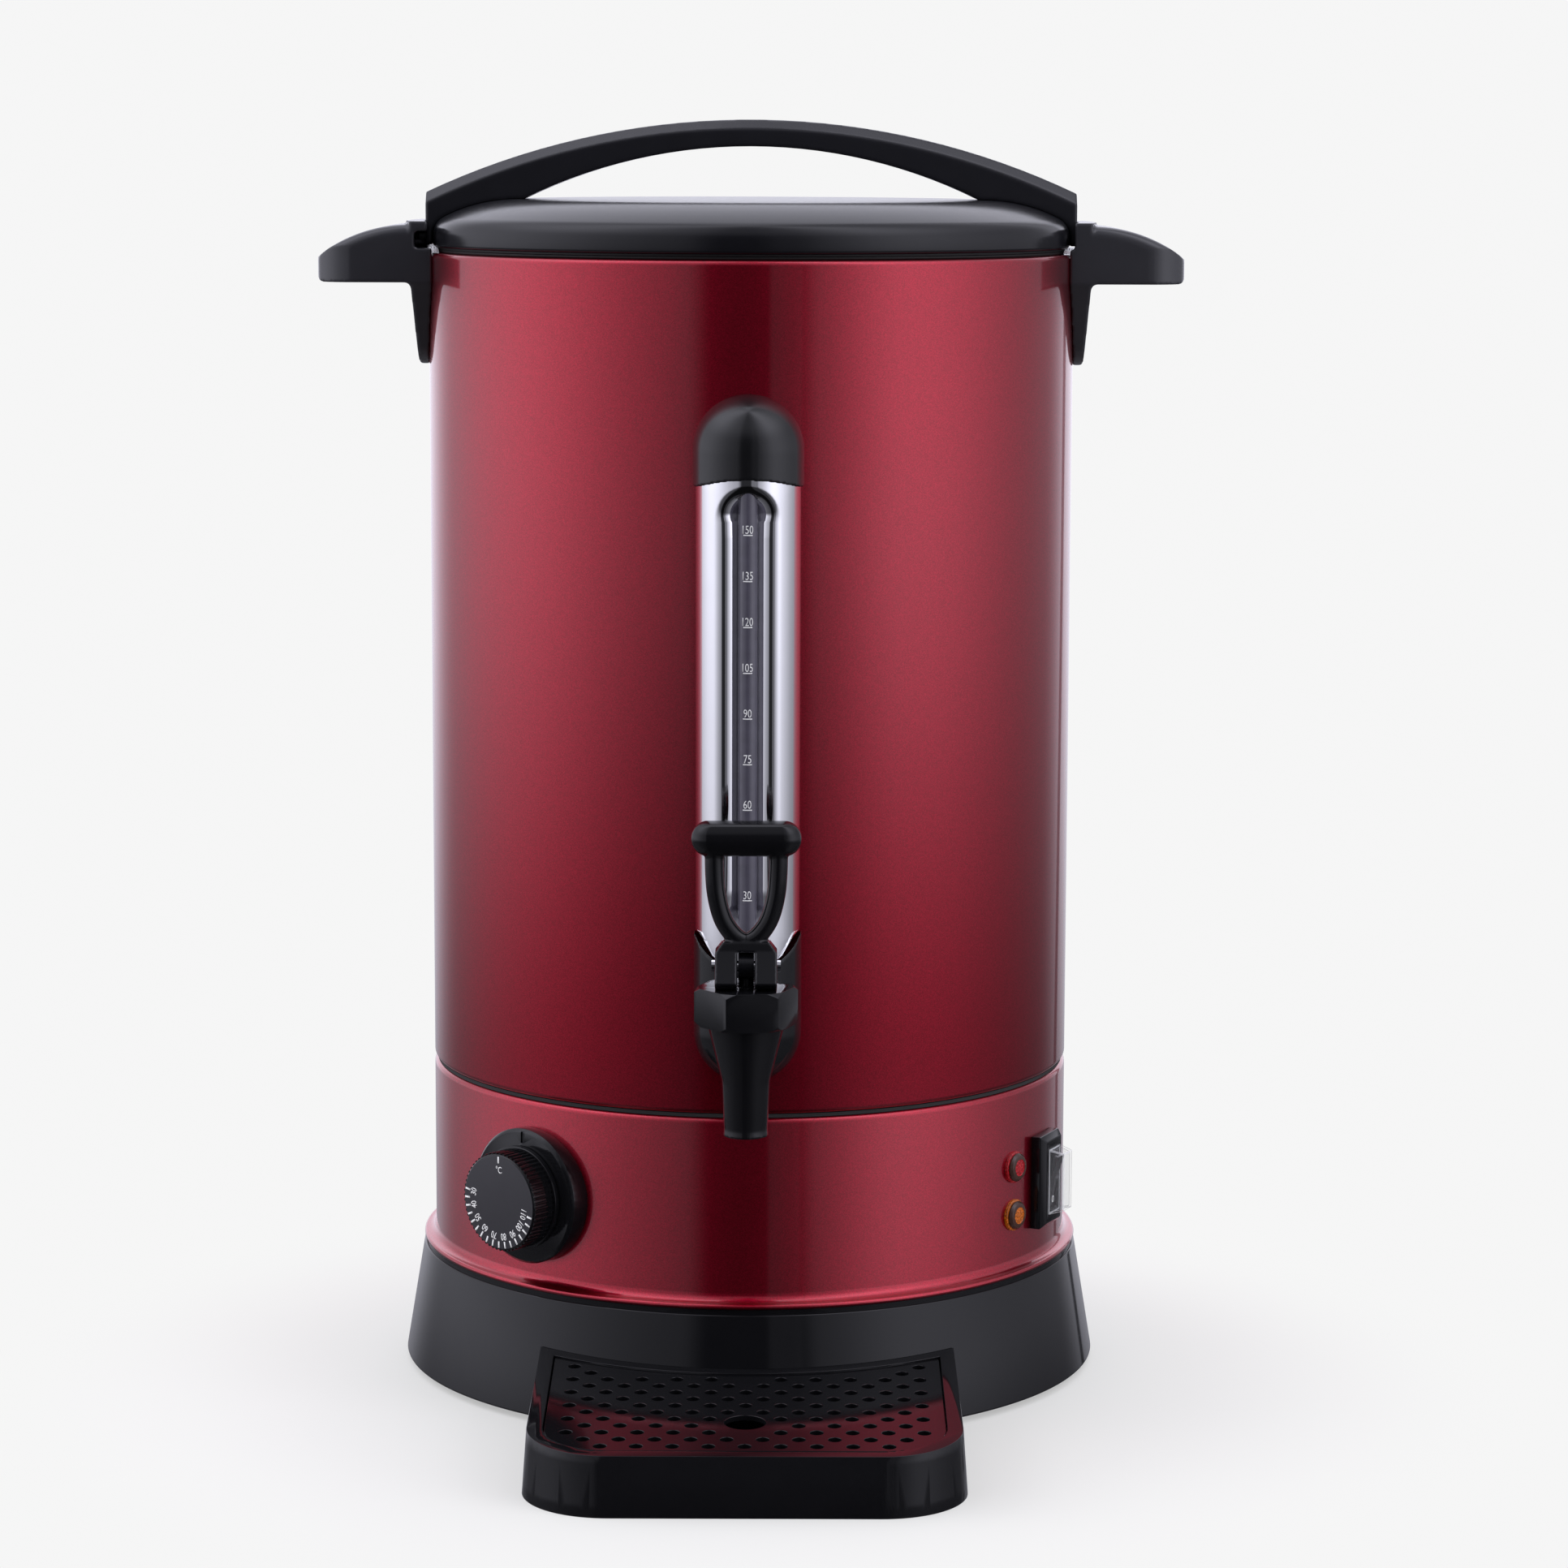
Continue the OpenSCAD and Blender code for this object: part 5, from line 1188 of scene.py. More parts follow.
    def sheet_point(self, z: float, angle: float, reach: float) -> Vector:
        """Point on the drawn sheet.

        Args:
            z: Height of the point on the window's middle line that it lies out from.
            angle: Direction that it lies in.
            reach: Way to it, measured round the shield.

        Returns:
            The point.
        """
        x = reach * math.cos(angle)
        height = max(z + reach * math.sin(angle), self.horn_line(min(abs(x), self.radius)))
        point = self.on_shield(x, height)
        brim = math.radians(self.roll_angle) * self.radius
        steep = 1 + self.end_pull * abs(math.sin(angle))
        point.y += self.drop(brim * min(reach / brim, 1.0) ** steep)
        return point

    def tube(self) -> None:
        """Dark glass tube with a rounded top."""
        low, high = self.tube_z
        outline = rounded([Corner(0, low), Corner(self.tube_r, low),
                           Corner(self.tube_r, high, self.tube_round), Corner(0, high)], closed=False)
        place = Matrix.Translation((0, self.tube_y, 0))
        stand_in(Shape().revolve(outline, place, steps=48, closed=False).piece("gauge_tube"), "gauge_glass")

    def wrapped(self, point: Vector) -> Vector:
        """Takes a point of a flat print, X across and Y up, round the tube's front."""
        turn = point.x / self.tube_r
        reach = self.tube_r + self.figure_out
        return Vector((reach * math.sin(turn), self.tube_y - reach * math.cos(turn), point.y))

    def figures(self) -> None:
        """White figures and the lines under them, printed on the tube."""
        shape = Shape()
        for i, value in enumerate(self.mark_values):
            height = self.first_mark - i * self.mark_step + self.figure_lift
            text = lettering(str(value), self.figure_h, self.figure_squeeze)
            shape.mesh(text, Matrix.Translation((0, height, 0)))
        for i in range(-self.slices, self.slices + 1):
            shape.cut(Vector((self.slice_w * i, 0, 0)), Vector((1, 0, 0)))
        for vertex in shape.bm.verts:
            vertex.co = self.wrapped(vertex.co)
        printed(shape.piece("gauge_figures", outwards=False), "urn")
        steps = 8
        rows = [[self.wrapped(Vector((self.tick_w * (j / steps - 0.5), self.first_mark + side, 0)))
                 for j in range(steps + 1)] for side in (0.0, self.tick_h)]
        line = Shape().sheet(rows).piece("gauge_lines", outwards=False)
        lines = ring_of(line, len(self.mark_values), 0, 0, FINISHES[Slot.TERMINAL_WHITE], -self.mark_step)
        printed(lines, "urn")


@dataclass
class Tap:
    """Tap with its bonnet and the looped lever."""

    edge: float = 0.6 * MM
    sharp: float = 20.0
    body_voxel: float = 0.6 * MM
    lever_voxel: float = 0.45 * MM
    yoke_over: float = 8.55 * MM
    bar_r: float = 7.7 * MM
    arm_r: float = 4.1 * MM
    arm_stops: tuple[Point, ...] = (
        (0.0, 10.0), (5.2, 13.4), (9.9, 20.4), (12.7, 31.0), (13.6, 43.0), (13.6, 55.0))
    arm_steps: int = 6

    def build(self) -> None:
        """Makes and dresses the pieces."""
        soften("tap_body", self.body_voxel, 2)
        ease("tap_bonnet", self.edge, steps=3, angle=self.sharp)
        self.lever()

    def lever(self) -> None:
        """Yoke of the lever with a bar on two arms that swing out in one curve."""
        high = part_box("tap_lever")[1]
        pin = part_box("lever_pin")
        middle = (pin[0] + pin[1]) / 2
        shape = Shape().mesh(frame["nodes"]["tap_lever"].data).weld()
        shape.cut(Vector((0, 0, pin[1].z + self.yoke_over)), Vector((0, 0, 1)), drop=True)
        bmesh.ops.holes_fill(shape.bm, edges=shape.bm.edges, sides=0)
        bar_z = high.z - self.bar_r
        bar_half = high.x - self.bar_r
        turn = Matrix.Translation((0, middle.y, bar_z)) @ Matrix.Rotation(math.pi / 2, 4, "Y")
        capsule = [(0, -high.x), *arc(0, -bar_half, self.bar_r, -90, 0, steps=10)[1:],
                   *arc(0, bar_half, self.bar_r, 0, 90, steps=10)[:-1], (0, high.x)]
        shape.revolve(capsule, turn, steps=40, closed=False)
        for side in (-1, 1):
            line = [Vector((side * x * MM, middle.y, middle.z + z * MM)) for x, z in self.arm_line()]
            shape.hose(line, self.arm_r)
        piece = shape.piece("tap_lever_form")
        stand_in(blended(piece, self.lever_voxel, 8), "tap_lever")

    def arm_line(self) -> list[Point]:
        """Curve of an arm in millimetres over the pin, from the yoke up to the bar."""
        stops = [Vector(stop) for stop in self.arm_stops]
        padded = [stops[0], *stops, stops[-1]]
        points: list[Point] = []
        for a, b, c, d in zip(padded, padded[1:], padded[2:], padded[3:]):
            for i in range(self.arm_steps):
                t = i / self.arm_steps
                spot = 0.5 * (2 * b + (c - a) * t + (2 * a - 5 * b + 4 * c - d) * t ** 2
                              + (3 * b - a - 3 * c + d) * t ** 3)
                points.append((spot.x, spot.y))
        return points + [(stops[-1].x, stops[-1].y)]


@dataclass
class Thermostat:
    """Knurled dial with a printed scale in a round bezel."""

    azimuth: float = -40.6
    height: float = 102.0 * MM
    radius: float = 22.3 * MM
    core_inset: float = 0.45 * MM
    collar: float = 2.5 * MM
    collar_out: float = 1.2 * MM
    chamfer: float = 0.6 * MM
    bore: float = 3.0 * MM
    face_t: float = 7.0 * MM
    edge: float = 0.5 * MM
    face_edge: float = 0.3 * MM
    knurl_count: int = 60
    knurl_r: float = 0.72 * MM
    knurl_sink: float = 0.2 * MM
    first_tick: float = -80.0
    sweep: float = -178.0
    tick_count: int = 17
    tick_l: float = 3.0 * MM
    tick_w: float = 0.85 * MM
    tick_out: float = 21.0 * MM
    first_figure: int = 30
    figure_step: int = 5
    figure_h: float = 3.3 * MM
    figure_squeeze: float = 0.74
    figure_r: float = 15.8 * MM
    unit_h: float = 3.2 * MM
    unit_squeeze: float = 0.85
    unit_r: float = 15.1 * MM
    unit_aside: float = 0.3 * MM
    weight: float = 0.006

    def __post_init__(self) -> None:
        """Reads the knob's ends from the frame."""
        low, high = spans("thermostat_knob", on_wall(self.azimuth, self.height))
        self.back, self.front = low.z, high.z

    def build(self) -> None:
        """Makes and dresses the pieces."""
        ease("knob_bezel", self.edge)
        self.knob()
        self.scale()

    def knob(self) -> None:
        """Knob with a smooth face, a chamfer and a knurl."""
        core = self.radius - self.core_inset
        wide = self.radius + self.collar_out
        collar = self.back + self.collar
        rim = self.front - self.chamfer
        outline = rounded([
            Corner(self.bore, self.back),
            Corner(wide, self.back),
            Corner(wide, collar, self.edge),
            Corner(core, collar),
            Corner(core, rim, self.face_edge),
            Corner(core - self.chamfer, self.front, self.edge),
            Corner(0, self.front),
            Corner(0, self.front - self.face_t),
            Corner(self.bore, self.front - self.face_t),
        ], steps=3)
        shape = Shape().revolve(outline, steps=120)
        rib = Shape().prism(arc(core, 0, self.knurl_r, -90, 90, steps=6), collar - self.knurl_sink,
                            rim - self.knurl_sink)
        ribs = ring_of(rib.piece("knurl"), self.knurl_count, 0, 360 / self.knurl_count,
                       FINISHES[Slot.GLOSS_BLACK])
        shape.mesh(ribs.data)
        bpy.data.objects.remove(ribs)
        shape.coat(lambda spot: spot.z > self.front - HAIR and spot.xy.length < self.radius)
        piece = moved(shape.piece("thermostat_knob_form", crease=25.0), on_wall(self.azimuth, self.height))
        stand_in(piece, "thermostat_knob", finishes=(FINISHES[Slot.GLOSS_BLACK], DIAL_FACE))

    def scale(self) -> None:
        """Ticks, figures and the unit, printed on the knob's face."""
        place = on_wall(self.azimuth, self.height, self.front + INK_LIFT)
        half = self.tick_w / 2
        inner = self.tick_out - self.tick_l
        bar = [[Vector((-half, r, 0)), Vector((half, r, 0))] for r in (self.tick_out, inner)]
        tick = Shape().sheet(bar).piece("dial_ticks", outwards=False)
        step = self.sweep / (self.tick_count - 1)
        ticks = ring_of(tick, self.tick_count, -self.first_tick, -step, FINISHES[Slot.TERMINAL_WHITE])
        shape = Shape().mesh(ticks.data).sheet(bar)
        bpy.data.objects.remove(ticks)
        for i in range(0, self.tick_count, 2):
            turn = Matrix.Rotation(-math.radians(self.first_tick + step * i), 4, "Z")
            figure = str(self.first_figure + self.figure_step * i)
            text = lettering(figure, self.figure_h, self.figure_squeeze, self.weight)
            shape.mesh(text, turn @ Matrix.Translation((0, self.figure_r, 0)))
        unit = lettering("°C", self.unit_h, self.unit_squeeze, self.weight)
        shape.mesh(unit, Matrix.Translation((self.unit_aside, self.unit_r, 0)))
        printed(shape.move(place).piece("dial_scale", outwards=False), "thermostat_dial")


@dataclass
class Panel:
    """Two indicator lamps and the rocker switch under its clear boot, and the cord's gland."""

    lamp_azimuth: float = 54.5
    lamp_heights: tuple[float, float] = (109.0 * MM, 86.5 * MM)
    lamp_r: float = 7.3 * MM
    stem_r: float = 5.0 * MM
    stem_l: float = 20.0 * MM
    flange_sunk: float = 0.6 * MM
    flange_edge: float = 1.3 * MM
    flange_round: float = 0.4 * MM
    ring_foot: float = 1.5 * MM
    ring_foot_in: float = 0.9 * MM
    ring_side: float = 2.3 * MM
    ring_side_in: float = 0.7 * MM
    ring_side_round: float = 0.3 * MM
    ring_top: float = 3.5 * MM
    ring_top_in: float = 1.7 * MM
    ring_top_round: float = 0.6 * MM
    window_r: float = 3.9 * MM
    window_edge: float = 3.6 * MM
    window_low: float = 3.3 * MM
    window_slope: float = 0.2 * MM
    moulding_edge: float = 0.6 * MM
    rocker_edge: float = 0.4 * MM
    boot_edge: float = 0.35 * MM
    switch_azimuth: float = 65.2
    switch_height: float = 98.2 * MM
    mark_h: float = 3.3 * MM
    mark_w: float = 2.4 * MM
    mark_stroke: float = 0.5 * MM
    mark_drop: float = 2.6 * MM
    mark_facets: int = 40
    facing: float = 0.5
    flush: float = 0.999

    def build(self) -> None:
        """Makes and dresses the pieces."""
        ease("switch_surround", self.moulding_edge, steps=3)
        ease("switch_rocker", self.rocker_edge)
        # The boot's rounded edges get the white painted highlight
        boot = eased(copy_of("switch_boot"), self.boot_edge, finish=1)
        stand_in(boot, "switch_boot", finishes=(FINISHES[Slot.CLEAR_BOOT], BOOT_PAINTED_HIGHLIGHT))
        ease("cord_gland", self.moulding_edge, steps=3)
        for name, height in zip(("lamp_red", "lamp_amber"), self.lamp_heights):
            self.lamp(name, height)
        self.off_mark()

    def lamp(self, node: str, height: float) -> None:
        """Lamp with a coloured flange, a smoked ring and a hatched window."""
        r = self.lamp_r
        outline = rounded([
            Corner(0, -self.stem_l),
            Corner(self.stem_r, -self.stem_l),
            Corner(self.stem_r, -self.flange_sunk),
            Corner(r, -self.flange_sunk),
            Corner(r, self.flange_edge, self.flange_round),
            Corner(r - self.ring_foot_in, self.ring_foot),
            Corner(r - self.ring_side_in, self.ring_side, self.ring_side_round),
            Corner(r - self.ring_top_in, self.ring_top, self.ring_top_round),
            Corner(self.window_r, self.window_edge),
            Corner(self.window_r - self.window_slope, self.window_low),
            Corner(0, self.ring_top),
        ], closed=False, steps=4)
        shape = Shape().revolve(outline, steps=64, closed=False)
        shape.coat(lambda spot: spot.z > self.ring_foot and spot.xy.length > self.window_r - HAIR)
        piece = moved(shape.piece(f"{node}_form"), on_wall(self.lamp_azimuth, height, BODY_R))
        stand_in(piece, node, finishes=(FINISHES[SLOT_OF[node]], SMOKED_RING))

    def off_mark(self) -> None:
        """White ring on the rocker's lower half, the sign for off."""
        place = on_wall(self.switch_azimuth, self.switch_height)
        inverse = place.inverted()
        faces = frame["nodes"]["switch_rocker"].data.polygons
        lower = [f for f in faces if (inverse @ f.center).y < 0
                 and (inverse.to_3x3() @ f.normal).z > self.facing]
        normal = max(lower, key=lambda f: f.area).normal.copy()
        facet = [f for f in lower if f.normal.dot(normal) > self.flush]
        area = sum(f.area for f in facet)
        centre = sum((f.center * f.area for f in facet), Vector()) / area
        right = place.to_3x3().col[1].cross(normal).normalized()
        up = normal.cross(right)
        turned = Matrix((right, up, normal)).transposed().to_4x4()
        spot = centre - up * self.mark_drop + normal * INK_LIFT
        rings = []
        for inset in (0.0, self.mark_stroke):
            wide, tall = self.mark_w / 2 - inset, self.mark_h / 2 - inset
            rings.append([Vector((wide * math.cos(a), tall * math.sin(a), 0))
                          for a in full_turn(self.mark_facets)])
        shape = Shape().sheet(rings, loop_columns=True).move(Matrix.Translation(spot) @ turned)
        printed(shape.piece("off_mark", outwards=False), "rocker")


@dataclass
class Handles:
    """Side handles with their locks, and the lid with its arched handle."""

    lid_edge: float = 11.0 * MM
    lid_shoulder: float = 39.0 * MM
    lid_rise: float = 11.0 * MM
    lid_wall: float = 2.5 * MM
    lid_round: float = 9.0 * MM
    lid_hollow: float = 0.85
    lip: float = 6.0 * MM
    lip_recess: float = 4.0 * MM
    lip_round: float = 1.6 * MM
    plug_r: float = 136.2 * MM
    plug_round: float = 0.8 * MM
    side_voxel: float = 0.7 * MM
    arch_voxel: float = 0.8 * MM

    def build(self) -> None:
        """Makes and dresses the pieces."""
        for node in ("side_handle_left", "side_handle_right"):
            soften(node, self.side_voxel, 3, HANDLE_BLACK)
        soften("lid_handle", self.arch_voxel, 2, ARCH_BLACK)
        self.lid()

    def lid(self) -> None:
        """Moulded lid with a rounded shoulder and an upright edge."""
        low_corner, high_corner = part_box("lid")
        radius, top, plug = high_corner.x, high_corner.z, low_corner.z
        low = top - self.lid_edge - self.lid_rise
        flat = radius - self.lid_shoulder
        curve = (self.lid_shoulder ** 2 + self.lid_rise ** 2) / (2 * self.lid_rise)
        short = self.lid_shoulder - self.lid_round
        turn = math.degrees(math.acos(short / (curve - self.lid_round)))
        round_z = top - curve + math.sqrt((curve - self.lid_round) ** 2 - short ** 2)
        shoulder = arc(flat, top - curve, curve, 90, turn, steps=20)
        brim = arc(radius - self.lid_round, round_z, self.lid_round, turn, 0, steps=16)
        hollow = 90 - (90 - turn) * self.lid_hollow
        inner = arc(flat, top - curve, curve - self.lid_wall, hollow, 90, steps=16)
        plug_in = self.plug_r - self.lid_wall
        outline = [(0, top), *shoulder, *brim[1:], *rounded([
            Corner(*brim[-1]),
            Corner(radius, low, self.lip_round),
            Corner(radius - self.lip, low),
            Corner(radius - self.lip, low + self.lip_recess),
            Corner(self.plug_r, low + self.lip_recess),
            Corner(self.plug_r, plug, self.plug_round),
            Corner(plug_in, plug, self.plug_round),
            Corner(plug_in, inner[0][1]),
            Corner(*inner[0]),
        ], closed=False)[1:], *inner[1:], (0, top - self.lid_wall)]
        shape = Shape().revolve(outline, PLACE, ROUND_FACETS, closed=False)
        stand_in(shape.piece("lid_form"), "lid")


@dataclass
class DripTray:
    """Drip tray and the pierced grate on its ledge."""

    edge: float = 0.7 * MM
    tray_w: float = 192.0 * MM
    tray_d: float = 109.6 * MM
    draft: float = 2.5 * MM
    corner: float = 38.0 * MM
    back_h: float = 35.0 * MM
    front_h: float = 26.5 * MM
    rim: float = 9.0 * MM
    inset: float = 7.0 * MM
    gap: float = 0.5 * MM
    skirt_back: float = 159.08 * MM
    grate_t: float = 2.5 * MM
    sink: float = 1.0 * MM
    pitch_x: float = 15.4 * MM
    pitch_y: float = 8.6 * MM
    hole_r: float = 2.85 * MM
    first_row: float = 8.0 * MM
    hole_edge: float = 2.5 * MM
    hole_slack: float = 0.5 * MM
    hole_facets: int = 24
    drain_r: float = 9.0 * MM
    drain_y: float = 227.0 * MM
    grate_edge: float = 0.3 * MM
    grate_sharp: float = 60.0

    def build(self) -> None:
        """Makes and dresses the pieces."""
        ease("drip_tray", self.edge, steps=3)
        self.grate()

    @property
    def front(self) -> float:
        """Distance of the tray's front from the body's axis."""
        return AXIS.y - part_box("drip_tray")[0].y

    @property
    def grate_half(self) -> float:
        """Half of the grate's width."""
        return self.tray_w / 2 - self.draft - self.inset

    @property
    def grate_front(self) -> float:
        """Distance of the grate's front from the body's axis."""
        return self.front - self.draft - self.inset

    @property
    def grate_corner(self) -> float:
        """Radius of the grate's front corners."""
        return self.corner - self.draft - self.inset

    @property
    def grate_back(self) -> float:
        """Radius of the grate's hollow back edge."""
        return self.skirt_back + self.gap + self.inset

    def rim_frame(self) -> Matrix:
        """Frame whose XY plane is the tray's sloping rim."""
        back = math.sqrt(self.skirt_back ** 2 - (self.tray_w / 2 - self.draft) ** 2)
        slope = math.atan((self.back_h - self.front_h) / (self.front - back))
        lift = Matrix.Translation((0, -back, self.back_h)) @ Matrix.Rotation(slope, 4, "X")
        return PLACE @ lift @ Matrix.Translation((0, back, 0))

    def room(self, x: float, y: float) -> float:
        """Distance from a point to the grate's edge."""
        round_r = self.grate_corner
        side, fore = self.grate_half - abs(x), self.grate_front + y
        edge = min(side, fore)
        if side < round_r and fore < round_r:
            edge = round_r - math.hypot(round_r - side, round_r - fore)
        return min(edge, math.hypot(x, y) - self.grate_back)

    def holes(self) -> list[tuple[float, float, float]]:
        """Places and radii of the grate's holes, in rows that alternate by half a pitch."""
        spots = [(0.0, -self.drain_y, self.drain_r)]
        need = self.hole_r + self.hole_edge
        columns = math.ceil(self.tray_w / self.pitch_x / 2)
        for row in range(int(self.tray_d / self.pitch_y) + 1):
            y = -self.front + self.rim + self.first_row + row * self.pitch_y
            for column in range(-columns, columns + 1):
                x = (column + (row % 2) / 2) * self.pitch_x
                to_drain = math.hypot(x, y + self.drain_y) - self.drain_r
                if min(self.room(x, y) + self.hole_slack, to_drain) > need:
                    spots.append((x, y, self.hole_r))
        return spots

    def grate(self) -> None:
        """Plate that follows the tray's outline, pierced with rows of holes."""
        half, fore, round_r = self.grate_half, -self.grate_front, self.grate_corner
        swing = math.degrees(math.asin(half / self.grate_back))
        back = arc(0, 0, self.grate_back, -90 + swing, -90 - swing, steps=32)
        outline = rounded([Corner(*back[-1]), Corner(-half, fore, round_r), Corner(half, fore, round_r),
                           Corner(*back[0])], closed=False, steps=16) + back[1:-1]
        mesh = bpy.data.meshes.new("drip_grate_form")
        spots = self.holes()
        points = [(x, y, 0) for x, y in outline] + [(x, y, 0) for x, y, _ in spots]
        count = len(outline)
        mesh.from_pydata(points, [(i, (i + 1) % count) for i in range(count)], [])
        bore = mesh.attributes.new("bore", "FLOAT", "POINT")
        for i, (_, _, radius) in enumerate(spots):
            bore.data[count + i].value = radius
        plate = SIEVE.run(added("drip_grate_form", mesh), Thickness=self.grate_t, Facets=self.hole_facets,
                          Material=PALETTE.of(FINISHES[Slot.GLOSS_BLACK]))
        place = self.rim_frame() @ Matrix.Translation((0, 0, -self.sink - self.grate_t))
        piece = eased(moved(plate, place), self.grate_edge, angle=self.grate_sharp)
        stand_in(piece, "drip_grate")


@dataclass(frozen=True)
class Softbox:
    """Large soft lamp that stands round the object."""

    name: str
    azimuth: float
    distance: float
    height: float
    width: float
    tall: float
    radiance: float
    aim_z: float = 0.36

    def light(self) -> None:
        """Adds the lamp, turned to the object's middle."""
        lamp = bpy.data.lights.new(self.name, "AREA")
        lamp.shape = "RECTANGLE"
        lamp.size = self.width
        lamp.size_y = self.tall
        lamp.energy = self.radiance * math.pi * self.width * self.tall
        stand = added(self.name, lamp)
        stand.visible_glossy = False
        turn = math.radians(self.azimuth)
        spot = AXIS + Vector((math.sin(turn) * self.distance, -math.cos(turn) * self.distance, self.height))
        aim = Vector((AXIS.x, AXIS.y, self.aim_z)) - spot
        stand.matrix_world = Matrix.Translation(spot) @ aim.to_track_quat("-Z", "Y").to_matrix().to_4x4()


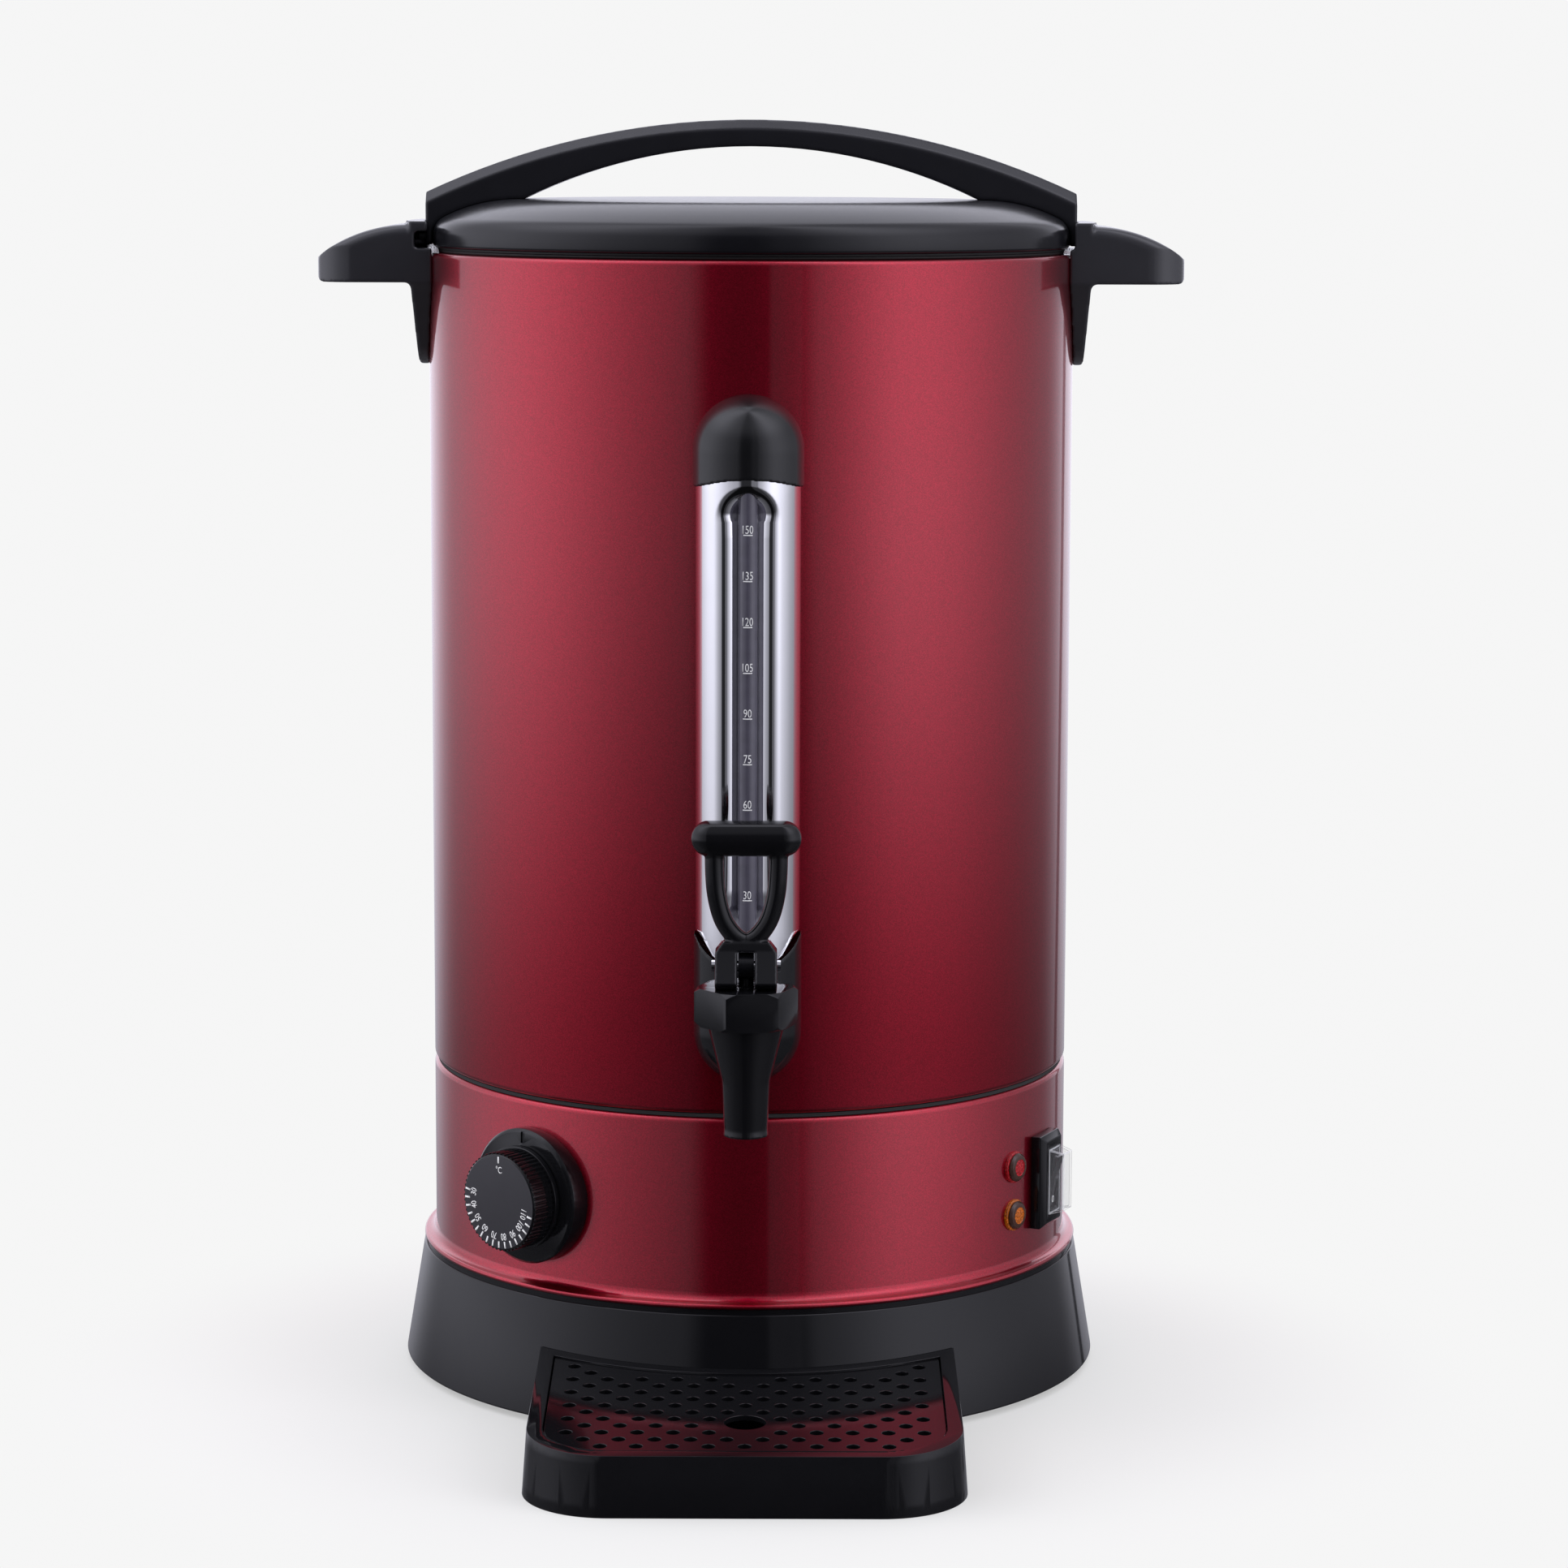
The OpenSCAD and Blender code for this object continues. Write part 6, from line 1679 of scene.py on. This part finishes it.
@dataclass
class Studio:
    """Camera, soft light, pale surround and floor."""

    lens: float = 102.18
    sensor: float = 36.0
    eye: Triple = (0.01592, -2.0344, 0.5746)
    pitch: float = 8.185
    roll: float = 0.178
    # Lamps, and the level of what the camera sees behind the object
    pale: float = 0.92
    softboxes: tuple[Softbox, ...] = (
        Softbox("left_box", -88, 1.5, 0.75, 0.9, 1.5, 1.9),
        Softbox("right_box", 58, 1.6, 0.75, 0.75, 1.5, 1.9),
        Softbox("top_box", 150, 0.9, 1.5, 1.2, 0.8, 0.9),
    )
    # Surround as the object reflects it: levels, and azimuths from the front, towards +X
    gap_left: float = 18.0
    gap_right: float = 20.0
    gap_soft: float = 5.0
    dark: float = 0.025
    strip: float = 0.16
    strip_ends: tuple[float, float] = (7.0, 18.0)
    strip_soft: float = 1.0
    panel: float = 0.3
    left_peak: float = 0.9
    left_at: float = -88.0
    left_spread: tuple[float, float] = (42.0, 42.0)
    right_peak: float = 0.95
    right_at: float = 57.0
    right_spread: tuple[float, float] = (24.0, 40.0)
    rear: float = 145.0
    rear_soft: float = 15.0
    rear_level: float = 1.15
    # Rises over the sine of the elevation
    ceiling: float = 0.3
    ceiling_rise: tuple[float, float] = (0.35, 0.8)
    high_boxes: float = 0.4
    tint: Colour = (0.97, 0.97, 1.1)
    slit: float = 0.85
    slit_ends: tuple[float, float] = (148.5, 152.5)
    slit_soft: float = 0.5
    # Fades over the elevation
    below: float = 0.15
    below_fade: tuple[float, float] = (-18.0, -1.0)
    floor_front: float = 0.36
    floor_side: float = 1.4
    floor_back: float = 1.6
    floor_colour: Colour = (0.8, 0.8, 0.75)
    floor_glow: float = 0.45
    shadow_fade: tuple[float, float] = (0.2, 0.36)

    def build(self) -> None:
        """Sets the stage."""
        bpy.context.scene.view_settings.view_transform = "Standard"
        self.camera()
        self.surround()
        self.floor()
        for softbox in self.softboxes:
            softbox.light()

    def camera(self) -> None:
        """Camera at the photograph's place, with no shift."""
        data = bpy.data.cameras.new("camera")
        data.lens = self.lens
        data.sensor_width = self.sensor
        data.sensor_fit = "HORIZONTAL"
        camera = added("camera", data)
        tilt = Matrix.Rotation(math.radians(90 - self.pitch), 4, "X")
        level = Matrix.Rotation(math.radians(self.roll), 4, "Z")
        camera.matrix_world = Matrix.Translation(self.eye) @ tilt @ level
        bpy.context.scene.camera = camera

    def surround(self) -> None:
        """Pale world: white behind, grey panels at the sides, dark in front."""
        world = bpy.data.worlds.new("surround")
        bpy.context.scene.world = world
        world.use_nodes = True
        world.node_tree.nodes.clear()
        graph = Graph(world.node_tree)
        way = graph.node("ShaderNodeTexCoord").outputs["Generated"]
        split = graph.node("ShaderNodeSeparateXYZ", {0: way})
        x, y, z = (Value(graph, split.outputs[i]) for i in range(3))
        azimuth = x.math("ARCTAN2", x, -1.0 * y) * math.degrees(1)
        elevation = z.math("ARCSINE", z) * math.degrees(1)
        right = azimuth.step(self.gap_right - self.gap_soft, self.gap_right + self.gap_soft)
        left = (-1.0 * azimuth).step(self.gap_left - self.gap_soft, self.gap_left + self.gap_soft)
        right_lobe = self.lobe(azimuth, self.right_at, self.right_spread)
        left_lobe = self.lobe(azimuth, self.left_at, self.left_spread)
        right = right * (self.panel + self.right_peak * right_lobe)
        left = left * (self.panel + self.left_peak * left_lobe)
        strip = self.strip * azimuth.band(self.strip_ends, self.strip_soft)
        away = azimuth.math("ABSOLUTE", azimuth)
        behind = away.step(self.rear - self.rear_soft, self.rear + self.rear_soft)
        level = (self.dark + strip + right + left) * (1.0 - behind) + self.rear_level * behind
        level = level * (1.0 - self.slit * azimuth.band(self.slit_ends, self.slit_soft))
        level = level * (self.below + (1.0 - self.below) * elevation.step(*self.below_fade))
        boxes = self.high_boxes * (right_lobe + left_lobe) * (1.0 - behind)
        level = level + (self.ceiling + boxes) * z.step(*self.ceiling_rise)
        lit = graph.node("ShaderNodeBackground", {"Color": self.tint, "Strength": level})
        plain = graph.node("ShaderNodeBackground",
                           {"Color": (self.pale, self.pale, self.pale), "Strength": 1.0})
        mix = graph.node("ShaderNodeMixShader",
                         {0: graph.seen(), 1: lit.outputs[0], 2: plain.outputs[0]})
        graph.node("ShaderNodeOutputWorld", {"Surface": mix.outputs[0]})

    @staticmethod
    def lobe(angle: Value, centre: float, spread: tuple[float, float]) -> Value:
        """Bell curve of an angle, with its own spread below and above its centre."""
        before, after = spread
        beyond = angle > centre
        way = (angle - centre) / (before + (after - before) * beyond)
        return way.math("EXPONENT", -1.0 * way * way)

    def floor(self) -> None:
        """Pale floor that keeps the shadow near the object and fades into the surround."""
        side, front, back = self.floor_side, -self.floor_front, self.floor_back
        rows = [[Vector((x, y, 0)) for x in (-side, side)] for y in (front, back)]
        floor = Shape().sheet(rows).piece("floor", outwards=False)
        floor.data.flip_normals()
        material = bpy.data.materials.new("pale_floor")
        surface = Surface(material)
        apart = surface.number("ShaderNodeVectorMath", "Value", {0: surface.place}, operation="LENGTH")
        far = apart.step(*self.shadow_fade)
        share = surface.seen() * (self.floor_glow + (1.0 - self.floor_glow) * far)
        matt = surface.node("ShaderNodeBsdfDiffuse", {"Color": self.floor_colour})
        glow = surface.node("ShaderNodeEmission", {"Color": (1.0, 1.0, 1.0), "Strength": self.pale})
        mix = surface.node("ShaderNodeMixShader", {0: share, 1: matt.outputs[0], 2: glow.outputs[0]})
        surface.node("ShaderNodeOutputMaterial", {"Surface": mix.outputs[0]})
        floor.data.materials.append(material)
        floor.visible_glossy = False


def dress_nodes() -> None:
    """Gives every node of the frame the finish of its slot, except the lid's seal, which gets the black
    painted shade of the gap under the lid instead of its own white.
    """
    for name, node in frame["nodes"].items():
        # The lid's seal gets the black painted shade of the gap under the lid, not its own white
        finish = RIM_PAINTED_SHADE if name == "lid_seal" else FINISHES[SLOT_OF[name]]
        for slot in node.material_slots:
            slot.material = PALETTE.of(finish)


def main() -> None:
    """Builds the stage, dresses the frame and adds the fine pieces."""
    logging.basicConfig(level=logging.INFO, format="%(message)s")
    Studio().build()
    dress_nodes()
    for assembly in (Casing(), LevelGauge(), Tap(), Thermostat(), Panel(), Handles(), DripTray()):
        assembly.build()


if __name__ == "__main__":
    main()
